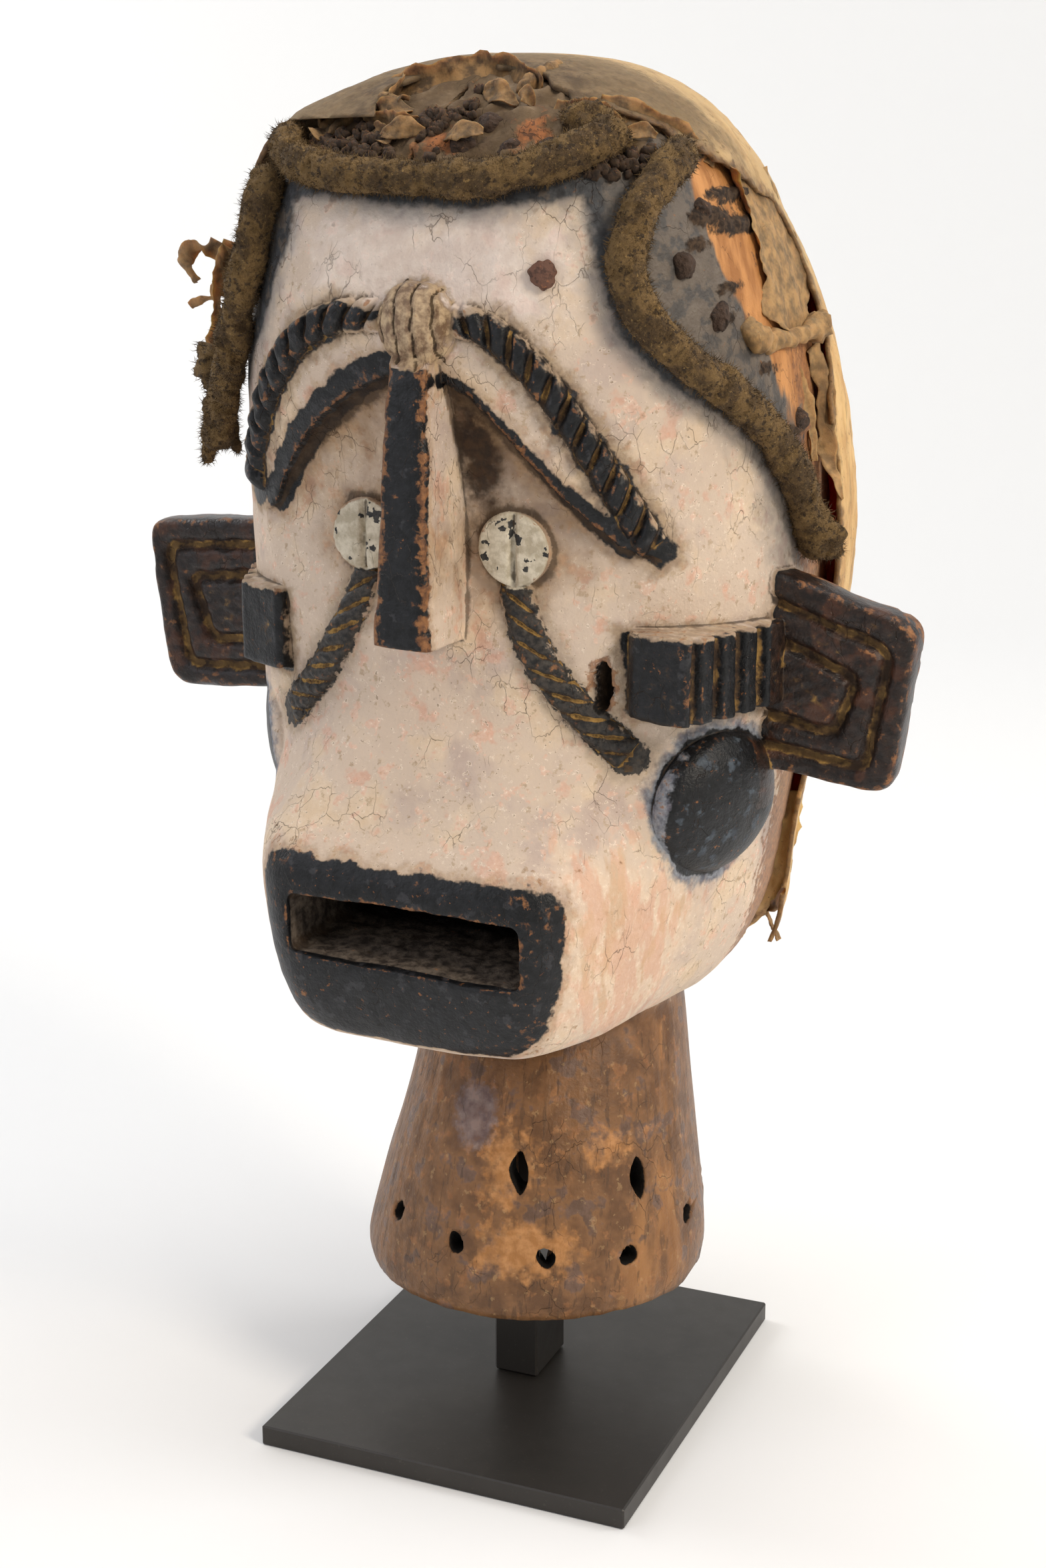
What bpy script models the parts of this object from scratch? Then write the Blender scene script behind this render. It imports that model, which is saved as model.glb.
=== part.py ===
"""A carved wooden crest mask on a steel display stand.

Metres, +Z up, origin at the centre of the stand plate's underside, the face towards -Y.
The mask is one carved piece of wood: neck, head, ears and all the carving of the face.
It is drawn in millimetres above the neck rim, at its own height, and scaled by MASK_HEIGHT.
"""
import math

import bmesh
import bpy
import numpy as np

for leftover in list(bpy.data.objects):
    bpy.data.objects.remove(leftover)

# Stand, in metres
PLATE_WIDTH = 0.147
PLATE_DEPTH = 0.171
PLATE_THICKNESS = 0.008
PLATE_EDGE = 0.0006
POST_WIDTH = 0.018
POST_DEPTH = 0.029
POST_BACK = 0.003
POST_SHOWING = 0.051
POST_EDGE = 0.0008

# Mask, in metres
MASK_HEIGHT = 0.4456
NECK_WALL = 0.014
NECK_HOLLOW = 0.085
SOCKET_DEPTH = 0.040
LASHING_BORE = 0.0072
MOUTH_DEPTH = 0.052
HIDE_THICKNESS = 0.0026
HIDE_LIFT = 0.0018
ROLL_DIAMETER = 0.0098
PEG_SHANK = 0.0050
PEG_LENGTH = 0.009
NAIL_SHANK = 0.0032
NAIL_HEAD = 0.0092
CLEARANCE = 0.0003

# The drawing of the mask, in millimetres: heights are measured up from the neck rim
DRAWN_HEIGHT = 445.6
SCALE = MASK_HEIGHT / DRAWN_HEIGHT
RIM_Z = PLATE_THICKNESS + POST_SHOWING
POST_TOP = RIM_Z + NECK_HOLLOW + SOCKET_DEPTH
LEAN = 0.042

# Sections of the neck and skull: height, half width, front, back, middle, corner power in front
SECTIONS = [
    (0, 64.5, -63.0, 66.5, 4, 2.0),
    (7, 66.0, -65.0, 68.0, 4, 2.0),
    (17, 65.0, -64.0, 68.5, 4.5, 2.0),
    (41, 60.5, -58.0, 68.5, 5.5, 2.0),
    (66, 55.0, -50.0, 68.5, 6.5, 2.0),
    (91, 51.0, -39.0, 69.0, 6.0, 2.0),
    (104, 50.5, -31.0, 69.5, 4, 2.0),
    (109, 53.0, -33.0, 70.0, 2, 2.1),
    (112, 58.0, -42.0, 71.0, 0, 2.2),
    (116, 64.0, -52.0, 72.5, 0, 2.3),
    (124, 72.5, -60.0, 76.0, 0, 2.35),
    (136, 80.5, -66.0, 82.5, 0, 2.35),
    (153, 87.5, -70.0, 92.5, 0, 2.35),
    (173, 91.0, -72.5, 103.0, 0, 2.35),
    (196, 94.5, -74.5, 112.5, 0, 2.35),
    (221, 99.0, -77.0, 119.5, 0, 2.35),
    (246, 101.5, -80.0, 123.0, 0, 2.35),
    (271, 103.0, -82.0, 124.0, 0, 2.35),
    (301, 103.0, -84.0, 122.0, 0, 2.35),
    (331, 101.0, -87.5, 117.0, 0, 2.4),
    (356, 97.5, -90.0, 108.5, 0, 2.5),
    (379, 91.0, -88.0, 93.0, 0, 2.7),
    (397, 84.0, -84.0, 76.0, 0, 3.0),
    (411, 77.0, -79.0, 62.5, 0, 3.0),
    (422, 68.5, -70.5, 52.5, 0, 2.8),
    (431, 57.5, -59.0, 44.5, 0, 2.6),
    (438, 45.0, -44.0, 36.5, 0, 2.4),
    (443, 30.0, -26.0, 27.0, 0, 2.2),
    (DRAWN_HEIGHT, 12.0, -4.0, 14.0, 0, 2.0),
]
BACK_POWER = 2.4
CROWN_POWER = 1.95
NECK_TOP = 104
HEAD_AXIS_Y = 12.0

# Sections of the muzzle: height, front, half width of its front
MUZZLE = [
    (109, -45, 20),
    (113, -82, 34),
    (118, -98, 42),
    (125, -105, 47),
    (136, -109, 50.5),
    (149, -111, 52.5),
    (165, -111.5, 54.5),
    (179, -109.5, 55.5),
    (187, -104.5, 54.5),
    (193, -99, 52),
    (203, -93, 46),
    (217, -86.5, 38),
    (233, -78, 28),
    (251, -60, 18),
]
MUZZLE_SIDE_Y = -28.0

# Carved surface below the brows: height, depth on the middle line, with a rise to both sides
SOCKET = [(226, -93), (241, -86), (256, -80.5), (273, -77.0), (291, -75.2),
          (309, -76.2), (326, -79), (341, -84), (361, -93)]
SOCKET_BEND = 0.0026
BROW_RIGHT = [(0, 345), (8, 343), (16.5, 338.5), (30, 324), (44, 308), (63, 292), (86, 286)]
BROW_LEFT = [(0, 345), (13, 344), (29, 336), (46, 323), (59, 308), (67, 295), (86, 287)]

# Notched ridges over the brows and grooved bands under the eyes, by half width and height
RIDGE_RIGHT = [(10, 364), (23, 361), (34, 353), (43, 342.6), (58, 318), (72, 292)]
RIDGE_LEFT = [(10, 364), (30.5, 362), (48, 353), (65, 334), (76, 313), (78, 298)]
TEAR = [(26, 279), (32.6, 262), (39.8, 249.5), (48, 238), (64, 221.5)]
EYE = (27.1, 289.5)
EYE_RADIUS = 12.4
EYE_RISE = 4.8

# Nose: height, half width, front
NOSE = [(258, 10.6, -107.8), (281, 9.6, -106.3), (304, 8.6, -104.6), (327, 7.7, -102.6),
        (346, 7.0, -100.4), (354, 6.6, -96.0)]
NOSE_ROOT = -58.0

# Knot where the brow ridges meet: depth and height of its middle, radii across, along and up, ribs
KNOT = (-90.0, 361.5)
KNOT_RADII = (13.0, 10.5, 13.5)
KNOT_RIBS = 8

# Squared bands from the cheeks to the ears: lower and upper edge, then for each side the front
# of its plan, with the corner last, and the end of its fluted side
CHEEK_BAND = (237.0, 266.0)
CHEEK_FRONT = {1: [(60, -52), (66.5, -71.5), (69, -74.5), (88, -78), (90, -76.5)],
               -1: [(58, -52), (63.5, -70.5), (66, -71.0), (84, -62.5), (85.5, -60.5)]}
CHEEK_END = {1: (104.5, -27.0), -1: (103.5, -18.0)}
CHEEK_FLUTES = 4
FLUTE_DEPTH = 3.6

# Round boss on each cheek: angle from the middle of the face and height; then for each side its
# radii out, across and up, and how deep its middle is sunk
BOSS = (60.5, 202.5)
BOSS_RADII = {1: (11.5, 28.5, 26.0), -1: (7.4, 27.0, 26.0)}
BOSS_SUNK = {1: 1.0, -1: 5.4}

# Mouth: half width, floor and roof; and the middle of the slit in the right cheek
MOUTH = (43.0, 148.5, 171.0)
CHEEK_SLIT = (56.2, 245.6)

# Ear slab outline, half width and height, from the head outwards
EAR_RIGHT = [(92, 285), (150, 268), (142.5, 207), (90, 214)]
EAR_LEFT = [(92, 282), (152, 276), (143, 212), (90, 217)]
EAR_FRONT = -23.0
EAR_SWEEP = 5.0
EAR_THICKNESS = 17.0
EAR_GROOVES = (9.5, 20.5)
EAR_GROOVE_WIDTH = 3.6
EAR_GROOVE_DEPTH = 3.2

# Holes through the neck's wall: angle about the neck in degrees, and height
LASHING_HOLES = [(-126, 29), (-97, 27), (-66, 25), (-37, 22), (-6, 27),
                 (-158, 26), (25, 26), (65, 27), (115, 26), (160, 27)]
LASHING_SLITS = [(-78, 55), (-33, 49), (-160, 52), (90, 54)]
SLIT_LENGTH = 14.0

# Rolls of skin: angle about the head in degrees, height, and how far each stands off the wood
ROLLS = {
    "hair_roll_front": [(-131, 417, 0), (-121, 410.5, 0), (-107, 406.5, 0), (-89, 404.5, 0),
                        (-73, 406, 0), (-61, 411.5, 0), (-52, 418, 0)],
    "hair_roll_right": [(-38, 413, 0), (-45, 406, 0), (-51, 395, 0), (-53.5, 382, 0),
                        (-51.5, 368, 0), (-44.5, 355, 0), (-33, 342, 0), (-23, 328, 0),
                        (-15, 311, 0), (-9, 296, 0), (-6, 285, 0)],
    "hair_roll_left": [(-130, 408, 0), (-128, 398, 0), (-129, 385, 0), (-132, 369, 0),
                       (-137, 351, 0.5), (-143, 335, 2), (-149, 321, 4.5), (-153, 310, 7)],
}

# Edge of the hide on each side of the head, as depth and height, from the crown to the nape
HIDE_EDGE_RIGHT = [(-52, 428), (-40, 419), (-22, 411), (-3, 405), (12, 401), (25, 388), (30, 362),
                   (25, 335), (27, 300), (27, 265), (33, 235), (36, 205), (37, 172), (34, 150),
                   (42, 127), (50, 139), (61, 133), (84, 141), (150, 141)]
HIDE_EDGE_LEFT = [(-52, 426), (-46, 414), (-40, 403), (-31, 382), (-22, 356), (-12, 322),
                  (0, 292), (12, 262), (26, 232), (37, 203), (44, 170), (60, 141), (84, 136),
                  (150, 141)]
HIDE_BITE = [(-22, -90), (-26, -58), (-12, -44), (2, -38), (18, -43), (34, -50), (44, -64), (40, -90)]

# Wooden pegs and the nail: angle about the head in degrees, and height
PEGS = {
    "skin_peg_1": (-84, 417),
    "skin_peg_2": (-79, 424),
    "skin_peg_3": (-73.5, 415),
    "skin_peg_4": (-66, 415.5),
    "skin_peg_5": (-34, 397),
    "skin_peg_6": (-41, 381),
    "skin_peg_7": (-33, 366),
    "skin_peg_8": (-6, 331),
}
NAIL = (40.8, 378)

MASK_PARTS = bpy.data.collections.new("crest_mask")
CUTTERS = bpy.data.collections.new("cutters")


def smooth_table(rows, steps=24):
    """A Catmull-Rom curve through the rows of a table, as a finer table."""
    rows = np.array(rows, float)
    slope = np.gradient(rows, axis=0)
    t = np.linspace(0, 1, steps, endpoint=False)[:, None, None]
    start, end, s0, s1 = rows[:-1], rows[1:], slope[:-1], slope[1:]
    curve = (
        (2 * t**3 - 3 * t**2 + 1) * start
        + (t**3 - 2 * t**2 + t) * s0
        + (-2 * t**3 + 3 * t**2) * end
        + (t**3 - t**2) * s1
    )
    curve = curve.transpose(1, 0, 2).reshape(-1, rows.shape[1])
    return np.vstack([curve, rows[-1:]])


SECTION_CURVE = smooth_table(SECTIONS)
MUZZLE_CURVE = smooth_table(MUZZLE)
SOCKET_CURVE = smooth_table(SOCKET)


def read_curve(curve, height):
    """Every column of a smoothed table at the given heights."""
    return [np.interp(height, curve[:, 0], column) for column in curve.T[1:]]


def smooth_step(value):
    value = np.clip(value, 0, 1)
    return value * value * (3 - 2 * value)


def axis_y(height):
    """Depth of the line that the skin's angles turn about."""
    half, front, back, middle, power = read_curve(SECTION_CURVE, height)
    share = np.clip((height - NECK_TOP + 3) / 25, 0, 1)
    return (1 - share) * (front + back) / 2 + share * HEAD_AXIS_Y


def skin_radius(angle, height):
    """Distance from the axis to the wood: a superellipse, blended with the muzzle's flat sides."""
    half, front, back, middle, power = read_curve(SECTION_CURVE, height)
    centre = axis_y(height)
    across, along = np.cos(angle), np.sin(angle)
    is_front = along < 0
    rounder = np.interp(height, (331, 411), (BACK_POWER, CROWN_POWER))
    power = np.where(is_front, power, np.where(height < NECK_TOP, 2.0, rounder))
    reach = np.where(is_front, centre - front, back - centre)
    skull = (np.abs(across / half) ** power + np.abs(along / reach) ** power) ** (-1 / power)
    flat, flat_half = read_curve(MUZZLE_CURVE, height)
    on = (height > MUZZLE[0][0]) & (height < MUZZLE[-1][0]) & is_front
    normal_x, normal_y = MUZZLE_SIDE_Y - (flat + 3), flat_half - half
    length = np.hypot(normal_x, normal_y)
    side = (flat_half * normal_x + (flat + 3 - centre) * normal_y) / length
    facing = (np.abs(across) * normal_x + along * normal_y) / length
    far = 1000.0
    to_front = np.where(along < -0.001, (centre - flat) / np.maximum(-along, 0.001), far)
    to_side = np.where(facing > 0.001, side / np.maximum(facing, 0.001), far)
    to_limit = 0.9 * half / np.maximum(np.abs(across), 0.0009)
    planes = np.stack([np.clip(d, 1, far) for d in (to_front, to_side, to_limit)])
    muzzle = (planes ** -16.0).sum(0) ** (-1 / 16)
    muzzle = np.where(on, muzzle, 1) * np.clip(-along / 0.12, 0, 1)
    return (skull**26 + muzzle**26) ** (1 / 26)


def skin(angle, height):
    """Points of the uncarved wood, in drawing millimetres."""
    angle, height = np.broadcast_arrays(np.asarray(angle, float), np.asarray(height, float))
    middle = read_curve(SECTION_CURVE, height)[3]
    radius = skin_radius(angle, height)
    x, y = middle + radius * np.cos(angle), axis_y(height) + radius * np.sin(angle)
    return np.stack([x, y, height], -1)


def front_skin(x, height):
    """The uncarved front at a half width, found by halving the angle's range."""
    x, height = np.broadcast_arrays(np.asarray(x, float), np.asarray(height, float))
    low, high = np.full(x.shape, -math.pi), np.zeros(x.shape)
    for _ in range(30):
        middle = (low + high) / 2
        short = skin(middle, height)[..., 0] < x
        low, high = np.where(short, middle, low), np.where(short, high, middle)
    return skin((low + high) / 2, height)


def brow_line(x):
    """Height of the brows' lower edge."""
    right = np.interp(x, *zip(*BROW_RIGHT))
    left = np.interp(-x, *zip(*BROW_LEFT))
    return np.where(x > 0, right, left)


def socket_depth(x, height):
    """Depth of the surface carved back below the brows."""
    return read_curve(SOCKET_CURVE, height)[0] + SOCKET_BEND * x * x


def face_skin(x, height):
    """The front with the eye sockets carved."""
    points = front_skin(x, height)
    carved = (height < brow_line(points[..., 0])) & (height > SOCKET[0][0])
    deep = np.maximum(points[..., 1], socket_depth(points[..., 0], points[..., 2]))
    points[..., 1] = np.where(carved, deep, points[..., 1])
    return points


def outward(surface, u, v, step_u=0.5, step_v=0.5):
    """Unit normals of a surface of two parameters, by differences."""
    du = surface(u + step_u, v) - surface(u - step_u, v)
    dv = surface(u, v + step_v) - surface(u, v - step_v)
    normal = np.cross(du, dv)
    return normal / np.linalg.norm(normal, axis=-1, keepdims=True)


def skin_out(angle, height):
    return outward(skin, angle, height, step_u=0.01)


def place(points):
    """Drawing millimetres to metres: the head leans a little to its left, on the rim's height."""
    points = np.array(points, float).reshape(-1, 3)
    height = points[:, 2]
    share = smooth_step((height - NECK_TOP - 5) / 25) * smooth_step((411 - height) / 70)
    points[:, 2] = height - LEAN * share * points[:, 0]
    points *= SCALE
    points[:, 2] += RIM_Z
    return points


def drawn(metres):
    """A real size, in drawing millimetres."""
    return metres / SCALE


def material(name, colour, roughness, metallic=0.0):
    surface = bpy.data.materials.new(name)
    surface.use_nodes = True
    shader = surface.node_tree.nodes["Principled BSDF"]
    shader.inputs["Base Color"].default_value = (*colour, 1)
    shader.inputs["Roughness"].default_value = roughness
    shader.inputs["Metallic"].default_value = metallic
    return surface


def add_object(name, mesh, surface=None, collection=MASK_PARTS):
    shape = bpy.data.objects.new(name, mesh)
    collection.objects.link(shape)
    if surface:
        mesh.materials.append(surface)
    if collection is CUTTERS:
        shape.hide_render = True
        shape.display_type = "WIRE"
    return shape


def closed_mesh(name, points, faces):
    """A mesh of one or more closed shells with every face pointing outwards."""
    mesh = bpy.data.meshes.new(name)
    mesh.from_pydata(np.asarray(points).tolist(), [], faces)
    shell = bmesh.new()
    shell.from_mesh(mesh)
    bmesh.ops.recalc_face_normals(shell, faces=shell.faces)
    shell.to_mesh(mesh)
    shell.free()
    return mesh


def loft_faces(rings, around, first=0):
    """Faces of a closed tube of rings, with a cap at each end."""
    faces = []
    for ring in range(rings - 1):
        for i in range(around):
            j = (i + 1) % around
            low, high = first + ring * around, first + (ring + 1) * around
            faces.append((low + i, low + j, high + j, high + i))
    faces.append(tuple(first + i for i in reversed(range(around))))
    faces.append(tuple(first + (rings - 1) * around + i for i in range(around)))
    return faces


def loft(name, rings, surface=None, collection=CUTTERS):
    """A closed solid through rings of equal count, given in drawing millimetres."""
    rings = np.array(rings, float)
    faces = loft_faces(rings.shape[0], rings.shape[1])
    return add_object(name, closed_mesh(name, place(rings), faces), surface, collection)


def loft_group(name, lofts):
    """Several separate lofted solids in one cutter."""
    points, faces = [], []
    for rings in lofts:
        rings = np.array(rings, float)
        faces += loft_faces(rings.shape[0], rings.shape[1], first=sum(len(p) for p in points))
        points.append(place(rings))
    return add_object(name, closed_mesh(name, np.vstack(points), faces), None, CUTTERS)


def change(target, tool, operation):
    boolean = target.modifiers.new(tool.name, "BOOLEAN")
    boolean.operation = operation
    boolean.object = tool


def rounded(corners, radius, steps=3):
    """A closed outline with each corner turned into a short arc."""
    corners = np.array(corners, float)
    outline = []
    for i, corner in enumerate(corners):
        before, after = corners[i - 1] - corner, corners[(i + 1) % len(corners)] - corner
        start = corner + before / np.linalg.norm(before) * radius
        end = corner + after / np.linalg.norm(after) * radius
        for t in np.linspace(0, 1, steps):
            outline.append((1 - t) ** 2 * start + 2 * t * (1 - t) * corner + t * t * end)
    return np.array(outline)


def spaced(path, count):
    """Points along a smooth curve through the path, by even shares of its length."""
    curve = smooth_table(path)
    length = np.concatenate([[0], np.cumsum(np.linalg.norm(np.diff(curve, axis=0), axis=1))])
    share = np.asarray(count, float) if np.ndim(count) else np.linspace(0, 1, count)
    share = np.clip(share, 0, 1) * length[-1]
    return np.stack([np.interp(share, length, column) for column in curve.T], -1)


def carved_band(surface, path, half_width, rise, bite, notches, slant):
    """A raised band along a path on the face, with slanting notches cut across it.

    Each ring is the band's section: two corners sunk in the wood and two on its top.
    """
    land = np.array([0.0, 0.58, 0.80])
    shares = np.concatenate([(k + land) / notches for k in range(notches)] + [[1.0]])
    tops = np.concatenate([np.tile([rise, rise, rise - bite], notches), [rise]])
    sides = np.array([-1, -0.86, 0.86, 1])
    heights = np.stack([tops * 0 - 3, tops, tops, tops * 0 - 3], 1)
    margin = 0.011 + abs(slant)
    share = margin + (1 - 2 * margin) * shares[:, None] + slant * sides
    behind, here, ahead = [spaced(path, share.ravel() + step) for step in (-0.01, 0, 0.01)]
    along = surface(ahead[:, 0], ahead[:, 1]) - surface(behind[:, 0], behind[:, 1])
    out = outward(surface, here[:, 0], here[:, 1])
    across = np.cross(out, along)
    across /= np.linalg.norm(across, axis=1, keepdims=True)
    points = surface(here[:, 0], here[:, 1])
    points = points + across * np.tile(sides, len(shares))[:, None] * half_width
    return (points + out * heights.ravel()[:, None]).reshape(len(shares), len(sides), 3)


def disc(centre, out, radius, low, high, sides=16):
    """Rings of a round disc standing on a surface, slightly domed."""
    out = out / np.linalg.norm(out)
    right = np.cross(out, (0, 0, 1))
    right /= np.linalg.norm(right)
    up = np.cross(right, out)
    turn = np.linspace(0, 2 * math.pi, sides, endpoint=False)[:, None]
    circle = np.cos(turn) * right + np.sin(turn) * up
    steps = ((radius, low), (radius, high - 0.9), (radius * 0.86, high))
    return [centre + circle * wide + out * height for wide, height in steps]


def dome(centre, out, radii, turns=12, levels=7):
    """Rings of an ellipsoid with one axis along a direction."""
    out = out / np.linalg.norm(out)
    right = np.cross(out, (0, 0, 1))
    right /= np.linalg.norm(right)
    up = np.cross(right, out)
    rings = []
    for level in np.linspace(-0.94, 0.94, levels) * math.pi / 2:
        turn = np.linspace(0, 2 * math.pi, turns, endpoint=False)[:, None]
        wide = math.cos(level)
        circle = np.cos(turn) * right * radii[1] + np.sin(turn) * up * radii[2]
        rings.append(centre + circle * wide + out * radii[0] * math.sin(level))
    return rings


def grid_lines():
    """Angles and heights of the wood's rows of points, closer together at the face and the jaw."""
    columns = np.radians(np.concatenate([np.linspace(-168, -12, 22), np.linspace(4, 176, 9)]))
    run = np.hypot(np.diff(SECTION_CURVE[:, 2]), np.diff(SECTION_CURVE[:, 0]))
    run += np.hypot(np.diff(SECTION_CURVE[:, 1]), np.diff(SECTION_CURVE[:, 0]))
    run = np.concatenate([[0], np.cumsum(run)])
    return columns, np.interp(np.linspace(0, run[-1], 34), run, SECTION_CURVE[:, 0])


def head_blank():
    """The neck and skull before carving, as one loft."""
    columns, rows = grid_lines()
    rings = skin(columns[None, :], rows[:, None])
    return loft("carved_head", rings, WOOD, MASK_PARTS)


def carve_sockets(head):
    """One cutter for both eye sockets, from the brows' edge down to where the cheeks take over."""
    side = np.linspace(8, 84, 14)
    columns = np.concatenate([-side[::-1], (-3, 0, 3), side])
    front_y = -135.0
    shares = np.array([0, 0.2, 0.4, 0.6, 0.8, 0.93, 1.0])
    rings = []
    for x in columns:
        top = float(brow_line(np.array(x)))
        heights = SOCKET[0][0] + (top - SOCKET[0][0]) * shares
        back = [(x, float(socket_depth(x, z)), z) for z in heights]
        rings.append(back + [(x, front_y, top + 7), (x, front_y, SOCKET[0][0])])
    change(head, loft("socket_cutter", rings), "DIFFERENCE")


def add_nose(head):
    rings = []
    for height, half, front in NOSE:
        rings.append([(-half - 1.0, NOSE_ROOT, height), (-half, front + 1.5, height),
                      (-half + 1.5, front, height), (half - 1.5, front, height),
                      (half, front + 1.5, height), (half + 1.0, NOSE_ROOT, height)])
    change(head, loft("nose", rings), "UNION")


def add_knot(head):
    """The ribbed knot where the brow ridges meet."""
    across, along, up = KNOT_RADII
    turns = np.linspace(0, 2 * math.pi, KNOT_RIBS * 2, endpoint=False)
    rings = []
    for level in np.radians(np.linspace(-78, 78, 7)):
        wide = math.cos(level) ** 0.8 * (1 + 0.09 * np.cos(turns * KNOT_RIBS))
        height = np.full(turns.shape, KNOT[1] + up * math.sin(level))
        rings.append(np.stack([across * wide * np.cos(turns),
                               KNOT[0] + along * wide * np.sin(turns), height], -1))
    change(head, loft("brow_knot", rings), "UNION")


def add_bands(head):
    """Notched brow ridges and grooved bands below the eyes."""
    for side, path in ((1, RIDGE_RIGHT), (-1, RIDGE_LEFT)):
        path = [(x * side, z) for x, z in path]
        rings = carved_band(front_skin, path, 5.4, 4.4, 3.2, 12, -0.03 * side)
        change(head, loft("brow_ridge_%d" % (side > 0), rings), "UNION")
    for side in (1, -1):
        path = [(x * side, z) for x, z in TEAR]
        rings = carved_band(face_skin, path, 5.8, 2.6, 1.4, 7, 0.05 * side)
        change(head, loft("tear_band_%d" % (side > 0), rings), "UNION")


def add_eyes(head):
    grooves = []
    for side in (1, -1):
        x = EYE[0] * side
        centre = face_skin(np.array(x), np.array(EYE[1]))
        out = outward(face_skin, np.array(x), np.array(EYE[1]), 4, 4)
        out = out + (0, -1.2, 0)
        change(head, loft("eye_%d" % (side > 0), disc(centre, out, EYE_RADIUS, -5, EYE_RISE)), "UNION")
        groove = []
        for z in (EYE[1] - 12.0, EYE[1] + 12.0):
            groove.append([(x - 1.1, centre[1] - 9, z), (x + 1.1, centre[1] - 9, z),
                           (x + 0.6, centre[1] - EYE_RISE + 1.6, z),
                           (x - 0.6, centre[1] - EYE_RISE + 1.6, z)])
        grooves.append(groove)
    change(head, loft_group("eye_grooves", grooves), "DIFFERENCE")


def cheek_band(side):
    """The squared band from the cheek to the ear, with flutes down its side face."""
    corner, end = np.array(CHEEK_FRONT[side][-1]), np.array(CHEEK_END[side])
    along = (end - corner) / CHEEK_FLUTES
    inwards = np.array([-along[1], along[0]]) / np.linalg.norm(along) * FLUTE_DEPTH
    plan = CHEEK_FRONT[side][:-1]
    for flute in range(CHEEK_FLUTES):
        start = corner + along * flute
        plan += [start, start + along * 0.08 + inwards, start + along * 0.42 + inwards,
                 start + along * 0.50]
    plan += [end, (end[0], -8), (84, -8)]
    return [[(x * side, y, z) for x, y in plan] for z in CHEEK_BAND]


def add_cheeks(head):
    for side in (1, -1):
        change(head, loft("cheek_band_%d" % (side > 0), cheek_band(side)), "UNION")
        angle, height = np.radians(-90.0 + side * BOSS[0]), np.array(BOSS[1])
        out = skin_out(angle, height)
        rings = dome(skin(angle, height) - out * BOSS_SUNK[side], out, BOSS_RADII[side])
        change(head, loft("cheek_boss_%d" % (side > 0), rings), "UNION")


def ear_depth(x):
    """Front of the ear slab, swept back towards its outer edge."""
    return EAR_FRONT + EAR_SWEEP * (abs(x) - EAR_RIGHT[0][0]) / (EAR_RIGHT[1][0] - EAR_RIGHT[0][0])


def groove_path(outline, inset):
    """A C inside the ear's outline, open towards the head."""
    (top_in, top), (top_out, top_rim), (low_out, low_rim), (low_in, low) = outline
    corners = [(top_in + 7, top - inset), (top_out - inset, top_rim - inset),
               (low_out - inset, low_rim + inset), (low_in + 9, low + inset)]
    path = [corners[0]]
    for i in (1, 2):
        corner = np.array(corners[i])
        before, after = np.array(corners[i - 1]) - corner, np.array(corners[i + 1]) - corner
        radius = 7.0 - inset * 0.12
        start = corner + before / np.linalg.norm(before) * radius
        end = corner + after / np.linalg.norm(after) * radius
        path += [start, (start + 2 * corner + end) / 4, end]
    return np.array([tuple(p) for p in path + [corners[3]]])


def ear_groove(side, outline, inset):
    """A square groove swept along the C, cut into the front of the ear."""
    path = groove_path(outline, inset)
    tangent = np.gradient(path, axis=0)
    tangent /= np.linalg.norm(tangent, axis=1, keepdims=True)
    normal = np.stack([tangent[:, 1], -tangent[:, 0]], 1)
    rings = []
    for point, across in zip(path, normal):
        ring = []
        for share, deep in ((-0.6, -6.0), (0.6, -6.0), (0.35, EAR_GROOVE_DEPTH),
                            (-0.35, EAR_GROOVE_DEPTH)):
            x, z = point + across * EAR_GROOVE_WIDTH * share
            ring.append((x * side, ear_depth(x) + deep, z))
        rings.append(ring)
    return rings


def add_ears(head):
    for side, corners in ((1, EAR_RIGHT), (-1, EAR_LEFT)):
        outline = rounded(corners, 9.0, steps=4)
        front = [(x * side, ear_depth(x) + 2.5, z) for x, z in outline]
        inner = outline.mean(0) + (outline - outline.mean(0)) * 0.94
        face = [(x * side, ear_depth(x), z) for x, z in inner]
        back = [(x * side, ear_depth(x) + EAR_THICKNESS, z) for x, z in outline]
        change(head, loft("ear_%d" % (side > 0), [face, front, back]), "UNION")
        grooves = [ear_groove(side, corners, inset) for inset in EAR_GROOVES]
        change(head, loft_group("ear_grooves_%d" % (side > 0), grooves), "DIFFERENCE")


def carve_mouth(head):
    """The open mouth: a box with a floor that rises towards the back."""
    half, low, high = MOUTH
    front_y = -125.0
    back_y = -111.0 + drawn(MOUTH_DEPTH)
    rings = []
    for y, shrink, lift in ((front_y, -1.0, -0.5), (-108.0, 0, 0), (back_y, 4.0, 5.0)):
        corners = [(-half + shrink, low + lift), (half - shrink, low + lift),
                   (half - shrink, high - shrink / 3), (-half + shrink, high - shrink / 3)]
        rings.append([(x, y, z) for x, z in rounded(corners, 3.0, steps=3)])
    change(head, loft("mouth_cutter", rings), "DIFFERENCE")


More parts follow.
